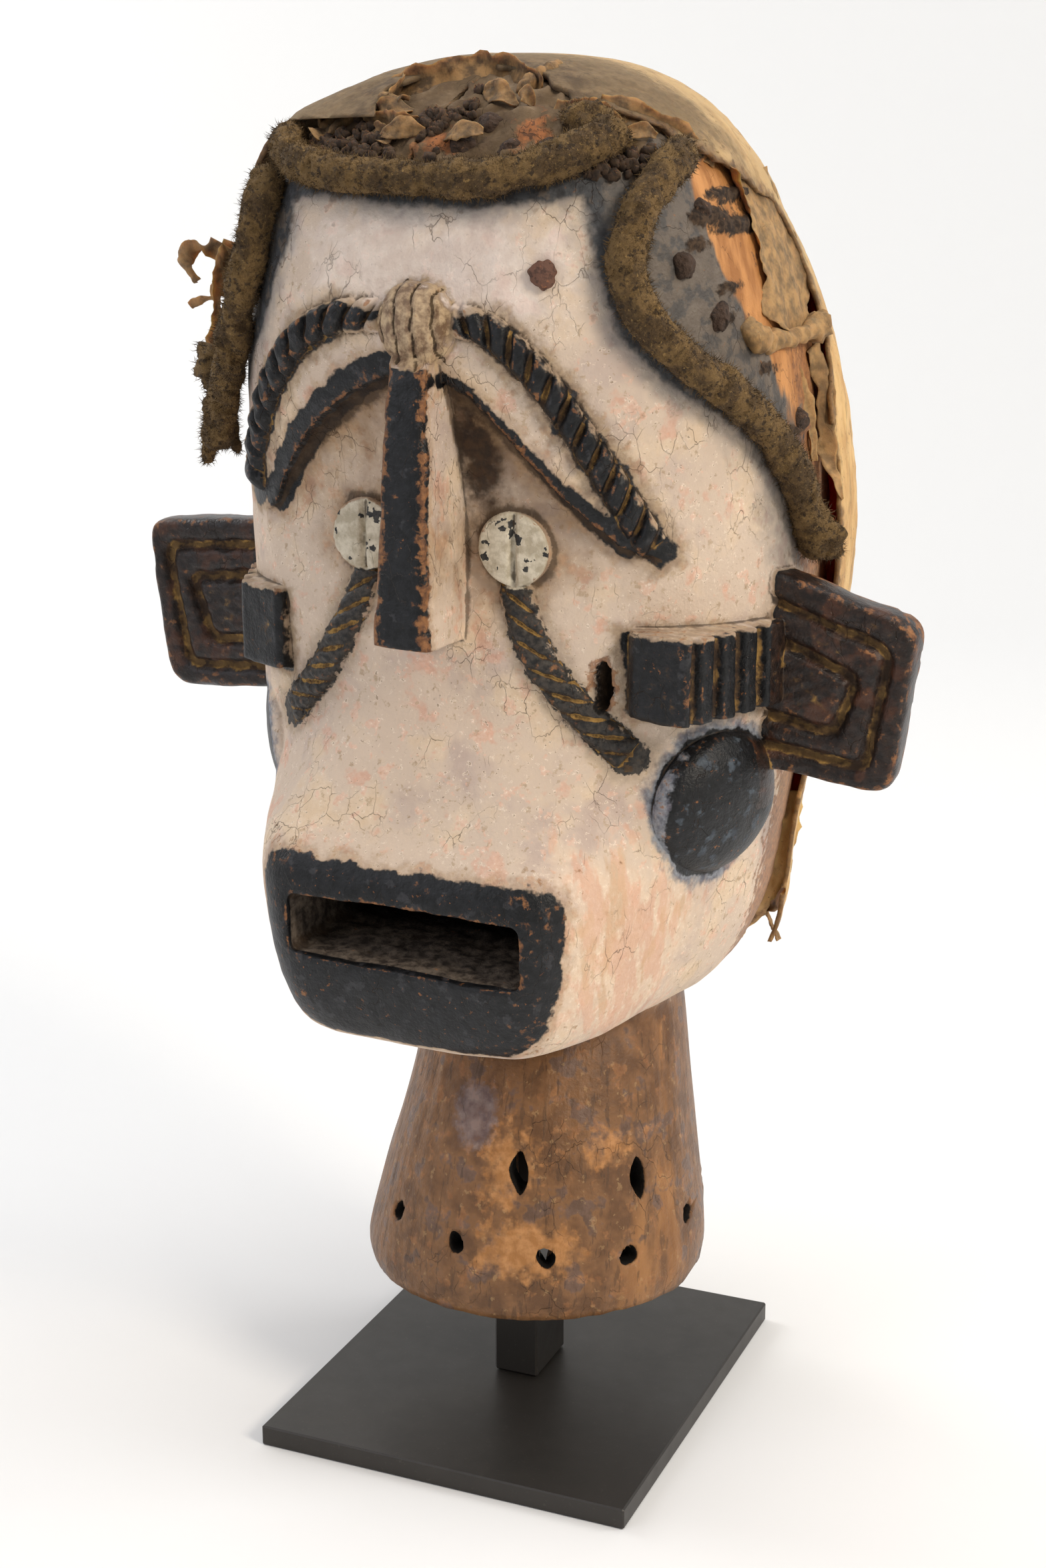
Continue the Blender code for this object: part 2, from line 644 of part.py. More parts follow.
def hollow_neck(head):
    """The open neck with its even wall, and the square socket above it for the stand's post."""
    angles = np.linspace(0, 2 * math.pi, 24, endpoint=False)
    wall, top = drawn(NECK_WALL), drawn(NECK_HOLLOW)
    rings = []
    for height, shrink in ((-10.0, 0), (0.0, 0), (top * 0.45, 0), (top * 0.9, 0), (top, 9.0)):
        source = max(height, 0.0)
        points = skin(angles, np.full(angles.shape, source))
        centre = np.array([read_curve(SECTION_CURVE, source)[3], float(axis_y(source)), source])
        spoke = points - centre
        length = np.linalg.norm(spoke, axis=1, keepdims=True)
        inner = centre + spoke / length * (length - wall - shrink)
        inner[:, 2] = height
        rings.append(inner)
    change(head, loft("neck_cutter", rings), "DIFFERENCE")
    half_x, half_y = POST_WIDTH / 2 + CLEARANCE, POST_DEPTH / 2 + CLEARANCE
    box = box_mesh("socket_bore", half_x, half_y, RIM_Z + NECK_HOLLOW * 0.7, POST_TOP + CLEARANCE)
    change(head, add_object("socket_bore", box, None, CUTTERS), "DIFFERENCE")


def box_mesh(name, half_x, half_y, low, high):
    """A box on the stand's centre line, in metres."""
    corners = ((-half_x, -half_y), (half_x, -half_y), (half_x, half_y), (-half_x, half_y))
    points = [(x, y + POST_BACK, z) for z in (low, high) for x, y in corners]
    return closed_mesh(name, points, loft_faces(2, 4))


def radial_bore(angle_degrees, height, wide, tall, inside, outside, sides=6):
    """Rings of a round or oval bore along a spoke of the neck or head."""
    angle, height = np.array(math.radians(angle_degrees)), np.array(float(height))
    centre = skin(angle, height)
    out = np.array([math.cos(angle), math.sin(angle), 0])
    right = np.array([-out[1], out[0], 0])
    turn = np.linspace(0, 2 * math.pi, sides, endpoint=False)[:, None]
    circle = np.cos(turn) * right * wide / 2 + np.sin(turn) * np.array([0, 0, 1]) * tall / 2
    return [centre + circle + out * deep for deep in (-inside, outside)]


def bore_lashing(head):
    """Round lashing holes near the rim and tall slits above them, through the neck's wall."""
    bore, wall = drawn(LASHING_BORE), drawn(NECK_WALL)
    bores = [radial_bore(turn, z, bore, bore, wall + 6, 8) for turn, z in LASHING_HOLES]
    bores += [radial_bore(turn, z, bore, SLIT_LENGTH, wall + 6, 8) for turn, z in LASHING_SLITS]
    change(head, loft_group("lashing_bores", bores), "DIFFERENCE")
    slit_x, slit_z = CHEEK_SLIT
    slit = [[(slit_x + x, y, slit_z + z) for x, z in ((-2.6, 0), (0, -8.5), (2.6, 0), (0, 8.5))]
            for y in (-90.0, -52.0)]
    change(head, loft("cheek_slit", slit), "DIFFERENCE")


def hide_bunch(angle, height):
    """How far the hide stands up: a fold on the left of the crown, and a lifted edge on the right."""
    turn = (angle + math.radians(138)) / math.radians(30)
    rise = (height - 408) / 26
    fold = 7.0 * np.exp(-turn * turn - rise * rise)
    turn = (angle - math.radians(24)) / math.radians(24)
    rise = (height - 296) / 66
    edge = 5.2 * np.exp(-turn * turn - rise * rise)
    turn = (angle - math.radians(26)) / math.radians(24)
    rise = (height - 120) / 32
    return fold + edge + 9.0 * np.exp(-turn * turn - rise * rise)


def offset_skin(lift, rows, columns):
    """Rings of the skin moved outwards along its normals, and bunched where the hide is."""
    angle, height = np.broadcast_arrays(columns[None, :], rows[:, None])
    above = lift + hide_bunch(angle, height)
    return skin(angle, height) + skin_out(angle, height) * above[..., None]


def make_hide():
    """The dried hide over the crown and the back, with its torn edge, a shell of even thickness."""
    columns, rows = grid_lines()
    rows = np.append(rows[(rows > 121) & (rows < 440)], [442.5, 444.9])
    lift, thick = drawn(HIDE_LIFT), drawn(HIDE_THICKNESS)
    outer, inner = [offset_skin(above, rows, columns) for above in (lift + thick, lift)]
    crown = np.array([0, 5.0, 0])
    tips = [crown + (rings[-1:] - crown) * (0.4, 0.4, 1) for rings in (inner, outer)]
    tips[0][..., 2] = DRAWN_HEIGHT + lift
    tips[1][..., 2] = DRAWN_HEIGHT + lift + thick
    cup = np.concatenate([tips[0], inner[::-1], outer, tips[1]])
    hide = loft("hide_cover", cup, HIDE, MASK_PARTS)
    for side, edge in ((1, HIDE_EDGE_RIGHT), (-1, HIDE_EDGE_LEFT)):
        outline = [(-170, 445)] + edge + [(150, 90), (-170, 90)]
        sides = [[(x * side, y, z) for y, z in outline] for x in (-4.0, 170.0)]
        change(hide, loft("hide_side_%d" % (side > 0), sides), "DIFFERENCE")
    bite = loft("hide_bite", [[(x, y, z) for x, y in HIDE_BITE] for z in (395.0, 470.0)])
    change(hide, bite, "DIFFERENCE")
    add_tatters(hide)


def hide_point(degrees, height, above=0.0):
    """A point in the hide's thickness, by angle and height."""
    angle, level = np.array(math.radians(degrees)), np.array(float(height))
    lift = drawn(HIDE_LIFT) + drawn(HIDE_THICKNESS) / 2 + hide_bunch(angle, level) + above
    return skin(angle, level) + skin_out(angle, level) * lift


def tatter(name, path, widths):
    """A torn tongue of the hide: a flat section carried along a path, narrowing to its tip."""
    centres = spaced(np.array(path), 8)
    widths = np.interp(np.linspace(0, 1, 8), np.linspace(0, 1, len(widths)), widths)
    along = np.gradient(centres, axis=0)
    out = centres * (1, 1, 0) - (0, HEAD_AXIS_Y, 0)
    across = np.cross(along, out)
    across /= np.linalg.norm(across, axis=1, keepdims=True)
    out = np.cross(across, along)
    out /= np.linalg.norm(out, axis=1, keepdims=True)
    thick = drawn(HIDE_THICKNESS) * 0.42
    rings = []
    for centre, side, normal, wide in zip(centres, across, out, widths):
        rings.append([centre + side * wide * u / 2 + normal * thick * v
                      for u, v in ((-1, -1), (1, -1), (1, 1), (-1, 1))])
    return loft(name, rings)


def add_tatters(hide):
    """The tongues that hang from the torn edge: two on the left temple and one by the right ear."""
    curl = [hide_point(-149, 402), (-93, -46, 394), (-101, -51, 390), (-107.5, -55, 387),
            (-109, -58, 381), (-104, -58, 376)]
    tail = [hide_point(-155, 388), (-98, -29, 374), (-104, -31, 360), (-107, -33, 346),
            (-108, -34, 331), (-110, -35, 318)]
    tongue = [hide_point(5, 398), hide_point(3, 385, 2.5), hide_point(4, 362, 3.4),
              hide_point(6, 340, 3.6), hide_point(7, 318, 4.0), hide_point(7, 298, 6.5)]
    for name, path, widths in (("curl_left", curl, (16, 14, 9, 4)),
                               ("tail_left", tail, (20, 17, 12, 5)),
                               ("tongue_right", tongue, (14, 11, 8, 2))):
        change(hide, tatter(name, path, widths), "UNION")


def make_roll(name, path):
    """A roll of skin laid along the wood, as a tube just clear of it."""
    radius = drawn(ROLL_DIAMETER) / 2
    points = spaced(path, 15)
    angle, height = np.radians(points[:, 0]), points[:, 1]
    middle = skin(angle, height) + skin_out(angle, height) * (radius + 0.9 + points[:, 2:])
    curve = bpy.data.curves.new(name, "CURVE")
    curve.dimensions = "3D"
    curve.bevel_depth = ROLL_DIAMETER / 2
    curve.bevel_resolution = 2
    curve.use_fill_caps = True
    spline = curve.splines.new("POLY")
    spline.points.add(len(middle) - 1)
    for point, position in zip(spline.points, place(middle)):
        point.co = (*position, 1)
    add_object(name, curve, FUR)


def knob(centre, out, profile, sides=7):
    """Rings of a turned peg or nail on the skin, from radii and heights."""
    out = out / np.linalg.norm(out)
    right = np.cross(out, (0, 0, 1))
    right /= np.linalg.norm(right)
    up = np.cross(right, out)
    turn = np.linspace(0, 2 * math.pi, sides, endpoint=False)[:, None]
    circle = np.cos(turn) * right + np.sin(turn) * up
    return [centre + circle * radius + out * height for radius, height in profile]


def make_pegs(head):
    """Pegs that held the skin, and the nail in the forehead, each in its own bore."""
    shank, length, gap = drawn(PEG_SHANK) / 2, drawn(PEG_LENGTH), drawn(CLEARANCE)
    peg = [(shank, -length), (shank, 1.1), (shank + 1.9, 1.3), (shank + 1.0, 4.0)]
    bores = []
    for name, (turn, height) in PEGS.items():
        angle, level = np.radians(float(turn)), np.array(float(height))
        centre, out = skin(angle, level), skin_out(angle, level)
        loft(name, knob(centre, out, peg), PEG, MASK_PARTS)
        bores.append(knob(centre, out, [(shank + gap, -length - gap), (shank + gap, 6)]))
    x, z = np.array(NAIL[0]), np.array(float(NAIL[1]))
    centre, out = front_skin(x, z), outward(front_skin, x, z)
    wide, shank = drawn(NAIL_HEAD) / 2, drawn(NAIL_SHANK) / 2
    nail = [(shank, -length), (shank, 0.8), (wide, 0.9), (wide * 0.8, 2.8)]
    loft("forehead_nail", knob(centre, out, nail, sides=10), IRON, MASK_PARTS)
    bores.append(knob(centre, out, [(shank + gap, -length - gap), (shank + gap, 6)]))
    change(head, loft_group("peg_bores", bores), "DIFFERENCE")


def make_stand():
    """The square post welded on the steel plate."""
    bpy.ops.mesh.primitive_cube_add(size=1, location=(0, 0, PLATE_THICKNESS / 2))
    plate = bpy.context.object
    finish_box(plate, "stand_plate", (PLATE_WIDTH, PLATE_DEPTH, PLATE_THICKNESS), PLATE_EDGE)
    low, high = PLATE_THICKNESS + CLEARANCE, POST_TOP - CLEARANCE
    bpy.ops.mesh.primitive_cube_add(size=1, location=(0, POST_BACK, (low + high) / 2))
    post = bpy.context.object
    finish_box(post, "stand_post", (POST_WIDTH, POST_DEPTH, high - low), POST_EDGE)


def finish_box(box, name, size, edge):
    box.name = box.data.name = name
    box.data.transform(((size[0], 0, 0, 0), (0, size[1], 0, 0), (0, 0, size[2], 0), (0, 0, 0, 1)))
    box.data.materials.append(STEEL)
    for collection in list(box.users_collection):
        collection.objects.unlink(box)
    MASK_PARTS.objects.link(box)
    bevel = box.modifiers.new("eased edges", "BEVEL")
    bevel.width = edge
    bevel.segments = 1


def build():
    for collection in (MASK_PARTS, CUTTERS):
        bpy.context.scene.collection.children.link(collection)
    head = head_blank()
    carve_sockets(head)
    add_nose(head)
    add_knot(head)
    add_bands(head)
    add_eyes(head)
    add_cheeks(head)
    add_ears(head)
    carve_mouth(head)
    hollow_neck(head)
    bore_lashing(head)
    make_pegs(head)
    make_hide()
    for name, path in ROLLS.items():
        make_roll(name, path)
    make_stand()


WOOD = material("painted wood", (0.55, 0.45, 0.36), 0.75)
HIDE = material("dried hide", (0.30, 0.22, 0.13), 0.65)
FUR = material("rolled skin with its hair", (0.10, 0.075, 0.045), 0.95)
PEG = material("dark peg wood", (0.05, 0.035, 0.025), 0.8)
IRON = material("rusty iron", (0.12, 0.06, 0.035), 0.8, 0.4)
STEEL = material("blackened steel", (0.035, 0.030, 0.027), 0.5, 0.8)
build()
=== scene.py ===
"""Looks of the carved crest mask on its stand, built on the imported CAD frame.

Metres, +Z up, the face towards -Y. The mask's wood, hide, rolls, pegs and nail are rebuilt as
finer surfaces that follow the same drawing as the solids. The stand's solids are shown as they
are, with their own finish.
"""
import itertools
import math

import bmesh
import bpy
import numpy as np
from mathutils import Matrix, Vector


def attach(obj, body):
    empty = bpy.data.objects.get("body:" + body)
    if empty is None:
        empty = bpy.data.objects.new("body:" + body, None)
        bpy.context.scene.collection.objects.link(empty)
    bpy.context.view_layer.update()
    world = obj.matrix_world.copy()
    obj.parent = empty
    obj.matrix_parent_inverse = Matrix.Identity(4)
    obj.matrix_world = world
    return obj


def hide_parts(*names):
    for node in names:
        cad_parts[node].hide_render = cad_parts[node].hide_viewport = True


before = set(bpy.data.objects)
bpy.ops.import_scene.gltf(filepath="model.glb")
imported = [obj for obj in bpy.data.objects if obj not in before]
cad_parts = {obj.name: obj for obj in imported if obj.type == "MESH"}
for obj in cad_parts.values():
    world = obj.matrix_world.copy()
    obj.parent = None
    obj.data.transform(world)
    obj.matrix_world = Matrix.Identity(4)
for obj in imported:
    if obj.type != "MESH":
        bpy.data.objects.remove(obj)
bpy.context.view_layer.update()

# The photo's camera: place in metres, turn to its right and downward pitch in degrees, lens in mm
CAMERA_PLACE = (0.3205, -0.7571, 0.4578)
CAMERA_TURN = 23.06
CAMERA_PITCH = 14.38
CAMERA_LENS = 51.93
CAMERA_SENSOR = 36.0

# The drawing of the mask, in millimetres: heights are measured up from the neck rim
MASK_HEIGHT = 0.4456
DRAWN_HEIGHT = 445.6
SCALE = MASK_HEIGHT / DRAWN_HEIGHT
RIM_Z = 0.059
LEAN = 0.042

# Sections of the neck and skull: height, half width, front, back, middle, corner power in front
SECTIONS = [
    (0, 64.5, -63.0, 66.5, 4, 2.0),
    (7, 66.0, -65.0, 68.0, 4, 2.0),
    (17, 65.0, -64.0, 68.5, 4.5, 2.0),
    (41, 60.5, -58.0, 68.5, 5.5, 2.0),
    (66, 55.0, -50.0, 68.5, 6.5, 2.0),
    (91, 51.0, -39.0, 69.0, 6.0, 2.0),
    (104, 50.5, -31.0, 69.5, 4, 2.0),
    (109, 53.0, -33.0, 70.0, 2, 2.1),
    (112, 58.0, -42.0, 71.0, 0, 2.2),
    (116, 64.0, -52.0, 72.5, 0, 2.3),
    (124, 72.5, -60.0, 76.0, 0, 2.35),
    (136, 80.5, -66.0, 82.5, 0, 2.35),
    (153, 87.5, -70.0, 92.5, 0, 2.35),
    (173, 91.0, -72.5, 103.0, 0, 2.35),
    (196, 94.5, -74.5, 112.5, 0, 2.35),
    (221, 99.0, -77.0, 119.5, 0, 2.35),
    (246, 101.5, -80.0, 123.0, 0, 2.35),
    (271, 103.0, -82.0, 124.0, 0, 2.35),
    (301, 103.0, -84.0, 122.0, 0, 2.35),
    (331, 101.0, -87.5, 117.0, 0, 2.4),
    (356, 97.5, -90.0, 108.5, 0, 2.5),
    (379, 91.0, -88.0, 93.0, 0, 2.7),
    (397, 84.0, -84.0, 76.0, 0, 3.0),
    (411, 77.0, -79.0, 62.5, 0, 3.0),
    (422, 68.5, -70.5, 52.5, 0, 2.8),
    (431, 57.5, -59.0, 44.5, 0, 2.6),
    (438, 45.0, -44.0, 36.5, 0, 2.4),
    (443, 30.0, -26.0, 27.0, 0, 2.2),
    (DRAWN_HEIGHT, 12.0, -4.0, 14.0, 0, 2.0),
]
BACK_POWER = 2.4
CROWN_POWER = 1.95
NECK_TOP = 104
HEAD_AXIS_Y = 12.0

# Sections of the muzzle: height, front, half width of its front
MUZZLE = [
    (109, -45, 20),
    (113, -82, 34),
    (118, -98, 42),
    (125, -105, 47),
    (136, -109, 50.5),
    (149, -111, 52.5),
    (165, -111.5, 54.5),
    (179, -109.5, 55.5),
    (187, -104.5, 54.5),
    (193, -99, 52),
    (203, -93, 46),
    (217, -86.5, 38),
    (233, -78, 28),
    (251, -60, 18),
]
MUZZLE_SIDE_Y = -28.0

# Carved surface below the brows: height, depth on the middle line, with a rise to both sides
SOCKET = [(226, -93), (241, -86), (256, -80.5), (273, -77.0), (291, -75.2),
          (309, -76.2), (326, -79), (341, -84), (361, -93)]
SOCKET_BEND = 0.0026
BROW_RIGHT = [(0, 345), (8, 343), (16.5, 338.5), (30, 324), (44, 308), (63, 292), (86, 286)]
BROW_LEFT = [(0, 345), (13, 344), (29, 336), (46, 323), (59, 308), (67, 295), (86, 287)]

# Notched ridges over the brows and grooved bands under the eyes, by half width and height
RIDGE_RIGHT = [(10, 364), (23, 361), (34, 353), (43, 342.6), (58, 318), (72, 292)]
RIDGE_LEFT = [(10, 364), (30.5, 362), (48, 353), (65, 334), (76, 313), (78, 298)]
TEAR = [(26, 279), (32.6, 262), (39.8, 249.5), (48, 238), (64, 221.5)]
EYE = (27.1, 289.5)
EYE_RADIUS = 12.4

# Nose: height, half width, front
NOSE = [(258, 10.6, -107.8), (281, 9.6, -106.3), (304, 8.6, -104.6), (327, 7.7, -102.6),
        (346, 7.0, -100.4), (354, 6.6, -96.0)]
NOSE_ROOT = -58.0
KNOT = (-90.0, 361.5)
KNOT_RADII = (13.0, 10.5, 13.5)

# Cheek band in plan, cheek boss, mouth, slit and ears, as in the solids
CHEEK_BAND = (237.0, 266.0)
CHEEK_FRONT = {1: [(60, -52), (66.5, -71.5), (69, -74.5), (88, -78), (90, -76.5)],
               -1: [(58, -52), (63.5, -70.5), (66, -71.0), (84, -62.5), (85.5, -60.5)]}
CHEEK_END = {1: (104.5, -27.0), -1: (103.5, -18.0)}
CHEEK_FLUTES = 4
FLUTE_DEPTH = 3.6
BOSS = (60.5, 202.5)
BOSS_RADII = {1: (11.5, 28.5, 26.0), -1: (7.4, 27.0, 26.0)}
BOSS_SUNK = {1: 1.0, -1: 5.4}
MOUTH = (43.0, 148.5, 171.0)
MOUTH_BACK = -59.0
CHEEK_SLIT = (56.2, 245.6)
EAR_RIGHT = [(92, 285), (150, 268), (142.5, 207), (90, 214)]
EAR_LEFT = [(92, 282), (152, 276), (143, 212), (90, 217)]
EAR_FRONT = -23.0
EAR_SWEEP = 5.0
EAR_THICKNESS = 17.0
EAR_GROOVES = (9.5, 20.5)

# Neck: wall, hollow and the holes through the wall by angle in degrees and height
NECK_WALL = 14.0
LASHING_BORE = 7.2
SLIT_LENGTH = 14.0
LASHING_HOLES = [(-126, 29), (-97, 27), (-66, 25), (-37, 22), (-6, 27),
                 (-158, 26), (25, 26), (65, 27), (115, 26), (160, 27)]
LASHING_SLITS = [(-78, 55), (-33, 49), (-160, 52), (90, 54)]

# The open crack in the crown, by half width and height
CROWN_CRACK = [(-8, 411), (-6.5, 419), (-3, 426), (-1, 433), (1.5, 440)]

# Rolls of skin: angle about the head in degrees, height, and how far each stands off the wood
ROLLS = {
    "hair_roll_front": [(-131, 417, 0), (-121, 410.5, 0), (-107, 406.5, 0), (-89, 404.5, 0),
                        (-73, 406, 0), (-61, 411.5, 0), (-52, 418, 0)],
    "hair_roll_right": [(-38, 413, 0), (-45, 406, 0), (-51, 395, 0), (-53.5, 382, 0),
                        (-51.5, 368, 0), (-44.5, 355, 0), (-33, 342, 0), (-23, 328, 0),
                        (-15, 311, 0), (-9, 296, 0), (-6, 285, 0)],
    "hair_roll_left": [(-130, 408, 0), (-128, 398, 0), (-129, 385, 0), (-132, 369, 0),
                       (-137, 351, 0.5), (-143, 335, 2), (-149, 321, 4.5), (-153, 310, 7)],
}
ROLL_RADIUS = 4.9
ROLL_FAT = {"hair_roll_front": 0.9, "hair_roll_right": 1.3, "hair_roll_left": 0.9}
PEGS = {
    "skin_peg_1": (-84, 417),
    "skin_peg_2": (-79, 424),
    "skin_peg_3": (-73.5, 415),
    "skin_peg_4": (-66, 415.5),
    "skin_peg_5": (-34, 397),
    "skin_peg_6": (-41, 381),
    "skin_peg_7": (-33, 366),
    "skin_peg_8": (-6, 331),
}
NAIL = (40.8, 378)

# Edge of the hide on each side of the head, as depth and height, and the bite over the forehead
HIDE_EDGE_RIGHT = [(-52, 428), (-40, 419), (-22, 411), (-3, 405), (12, 401), (25, 388), (30, 362),
                   (25, 335), (27, 300), (27, 265), (33, 235), (36, 205), (37, 172), (34, 150),
                   (42, 127), (50, 139), (61, 133), (84, 141), (150, 141)]
HIDE_EDGE_LEFT = [(-52, 426), (-46, 414), (-40, 403), (-31, 382), (-22, 356), (-12, 322),
                  (0, 292), (12, 262), (26, 232), (37, 203), (44, 170), (60, 141), (84, 136),
                  (150, 141)]
HIDE_BITE = [(-22, -90), (-26, -58), (-12, -44), (2, -38), (18, -43), (34, -50), (44, -64), (40, -90)]
HIDE_LIFT = 1.8

# Borders of the paint on the front, by half width and height
HAIRLINE = [(-130, 292), (-104, 300), (-92, 324), (-80.6, 340), (-67.9, 355), (-60.3, 372),
            (-53.6, 388), (-53.0, 400), (-36.6, 401.5), (-12.1, 398.3), (15.6, 397.5),
            (40.8, 399.2), (50.5, 401), (53.7, 390), (57.2, 376), (63.1, 360), (75.3, 346),
            (88.2, 335.7), (94.9, 324.7), (99.4, 313), (101.5, 299), (103, 284), (130, 284)]
BARE_BORDER = [(72, 430), (73.8, 408), (77.2, 398.7), (80.4, 390), (84.7, 379.5), (90.1, 368),
               (94.8, 357), (98, 346.5), (99.9, 336), (102, 314), (103, 296)]
# Torn scraps of the hide: rows of place, half width and twist in degrees, then how far each cups
SCRAPS = [
    ([(-104, -27, 384, 4, 10), (-106, -30, 374, 8, 0), (-109, -31, 363, 9, -15),
      (-109, -30, 353, 6, 10), (-110, -29, 344, 2.5, 30)], 3.2),
    ([(-102, -29, 376, 5, 60), (-110, -31, 382, 4.2, 50), (-118, -32, 381, 4.0, 80),
      (-122, -31, 375, 3.4, 120), (-118, -30, 368, 2.6, 150)], 1.6),
    ([(-106, -30, 364, 3, 70), (-113, -31, 363, 2.6, 40), (-120, -31, 359, 1.8, 80)], 0.8),
    ([(-97, -24, 362, 4, 20), (-101, -27, 350, 5, 0), (-103, -29, 338, 4, 25),
      (-104, -31, 327, 1.5, 40)], 1.8),
    ([(98, 22, 354, 4.0, 30), (102, 26, 341, 3.6, 50), (104, 24, 327, 3.2, 60),
      (107, 19, 314, 2.8, 50), (114, 12, 304, 0.6, 60)], 0.8),
    ([(92, -2, 352, 3.0, 20), (97, 8, 344, 3.4, 40), (101, 13, 330, 2.6, 30), (103, 14, 316, 1.0, 20)], 0.8),
    ([(76, 58, 136, 3.4, 10), (78, 60, 128, 1.8, 20), (81, 60, 120, 1.6, 35)], 0.4),
    ([(-33, -50, 434, 4, 25), (-20, -50, 438, 5, 55), (-10, -46, 440.5, 5, 70), (0, -40, 442.5, 4.6, 60),
      (13, -42, 441, 4.6, 70), (25, -50, 436, 3.5, 45)], 1.2),
    ([(-36, -42, 436, 3.4, 10), (-29, -50, 435.5, 7, 15), (-27, -58, 432.5, 6, 25),
      (-30, -65, 427, 2, 10)], 1.8),
    ([(-31, -66, 425, 2.0, 30), (-24, -69, 424.5, 4.2, 35), (-15, -71, 424, 4.4, 50),
      (-8, -70, 425, 1.6, 70)], 1.4),
    ([(34, -58, 429, 3.0, 20), (42, -60, 427, 4.6, 45), (50, -58, 425, 4.6, 35),
      (58, -54, 419, 2.4, 20)], 1.6),
    ([(46, -50, 430, 3.0, 20), (58, -46, 426, 5.0, 40), (68, -36, 420, 4.4, 60),
      (76, -22, 413, 2.4, 30)], 1.6),
]
# The golden flap that hangs behind the jaw
GOLD_FLAP = [(91, 41, 188, 4, 50), (89, 41, 174, 6, 60), (85, 41, 161, 7.5, 64), (80, 41, 149, 9, 60),
             (75.5, 42, 139, 8, 60), (72, 43, 131, 5, 50), (71, 44, 125, 1.5, 30)]
# Twisted cords of skin: rows of place and radius
CORDS = [
    [(90.5, -35, 362.5, 2.6), (92.5, -31, 361, 4.8), (95.5, -22, 358.5, 3.6), (98.5, -7, 358.5, 2.4),
     (100, 8, 359.5, 2.6), (101, 20, 361, 4.2), (99, 28, 362, 3.0)],
    [(19, -54, 434, 1.6), (22, -46, 438, 2.8), (24, -34, 442, 2.6), (26, -22, 443.5, 1.4)],
    [(-50, -62, 421, 1.5), (-44, -52, 429, 2.6), (-36, -40, 436, 2.2), (-30, -30, 440, 1.4)],
    [(-44, -66, 421, 1.4), (-38, -58, 428, 2.4), (-30, -48, 434.5, 2.0), (-25, -40, 438, 1.2)],
]
# Felted lumps at the ends of the rolls: rows of place and radius
TUFTS = [
    [(104, -6, 303, 5.0), (108, -2, 296, 7.2), (112, 1, 290, 7.0), (113, 3, 284, 3.5)],
    [(-102, -41, 330, 5.0), (-104, -39, 320, 5.0), (-100, -38, 313, 2.6), (-98, -38, 307, 1.4)],
    [(-104, -39, 345, 5.5), (-106, -39, 338, 6.6), (-104, -38, 329, 5.6), (-103, -38, 322, 3.0)],
    [(-106, -38, 316, 4.0), (-110, -37, 309, 2.8), (-113, -36, 302, 1.4)],
    [(38, -60, 427, 3.0), (46, -62, 424, 6.0), (55, -60, 420, 5.4), (60, -56, 416, 2.5)],
]
ROLL_OF_TUFT = ["hair_roll_" + side for side in ("right", "left", "left", "left", "front")]
# How noise is stretched: not at all, or upwards along the wood's grain
EVEN = (1, 1, 1)
LONG = (1, 1, 6)
# Value of a painted area's field where the area can't be
FAR = -30.0
# Dark crusts on the right temple by half width and height, with their radius
CRUSTS = [(79.6, 395.4, 3.0), (80.5, 402, 2.6), (84.4, 393, 3.0), (79.5, 387, 2.0), (86.8, 374.2, 1.7),
          (87.1, 365.6, 1.9), (95.7, 349.4, 1.3), (101.2, 328, 1.8), (88, 401, 2.0)]
# The black lips: height of their middle, half width and half height, and corner
LIPS_MIDDLE = 153.0
LIPS_HALF = (55.0, 30.0)
LIPS_CORNER = 9.0

# How fine the surfaces are, and how many loose bits lie on them
HEAD_COLUMNS = (166, 20)
HEAD_ROWS = 288
HIDE_COLUMNS = 250
HIDE_ROWS = 160
STRIPS = 16
CRUMBS = 560
HAIRS = 8000
HAIR_LENGTH = 3.0


def linear(hex_colour):
    """A colour written as sRGB hex, as linear values with full alpha."""
    values = [int(hex_colour[i:i + 2], 16) / 255 for i in (0, 2, 4)]
    return tuple(v / 12.92 if v <= 0.04045 else ((v + 0.055) / 1.055) ** 2.4 for v in values) + (1.0,)


def new_object(name, data):
    """An object at the origin, in the scene."""
    made = bpy.data.objects.new(name, data)
    bpy.context.scene.collection.objects.link(made)
    return made


def unit(vectors):
    """Vectors scaled to a length of one."""
    return vectors / np.linalg.norm(vectors, axis=-1, keepdims=True)


def full_turn(count):
    """Angles of evenly spaced spokes around a full turn."""
    return np.linspace(0, 2 * math.pi, count, endpoint=False)


def set_camera():
    """A camera at the photo's place, turned and pitched as the photo's was."""
    turn, pitch = math.radians(CAMERA_TURN), math.radians(CAMERA_PITCH)
    back = Vector((math.sin(turn) * math.cos(pitch), -math.cos(turn) * math.cos(pitch), math.sin(pitch)))
    data = bpy.data.cameras.new("photo camera")
    data.lens, data.sensor_width, data.sensor_fit = CAMERA_LENS, CAMERA_SENSOR, "AUTO"
    data.clip_start = 0.02
    camera = new_object("photo camera", data)
    camera.location = CAMERA_PLACE
    camera.rotation_euler = (-back).to_track_quat("-Z", "Y").to_euler()
    bpy.context.scene.camera = camera


def soft_box(name, place, aim, size, power, colour):
    """A square area light at a place, turned towards a point."""
    data = bpy.data.lights.new(name, "AREA")
    data.shape, data.size, data.energy, data.color = "SQUARE", size, power, linear(colour)[:3]
    light = new_object(name, data)
    light.location = place
    light.rotation_euler = (Vector(aim) - Vector(place)).to_track_quat("-Z", "Y").to_euler()


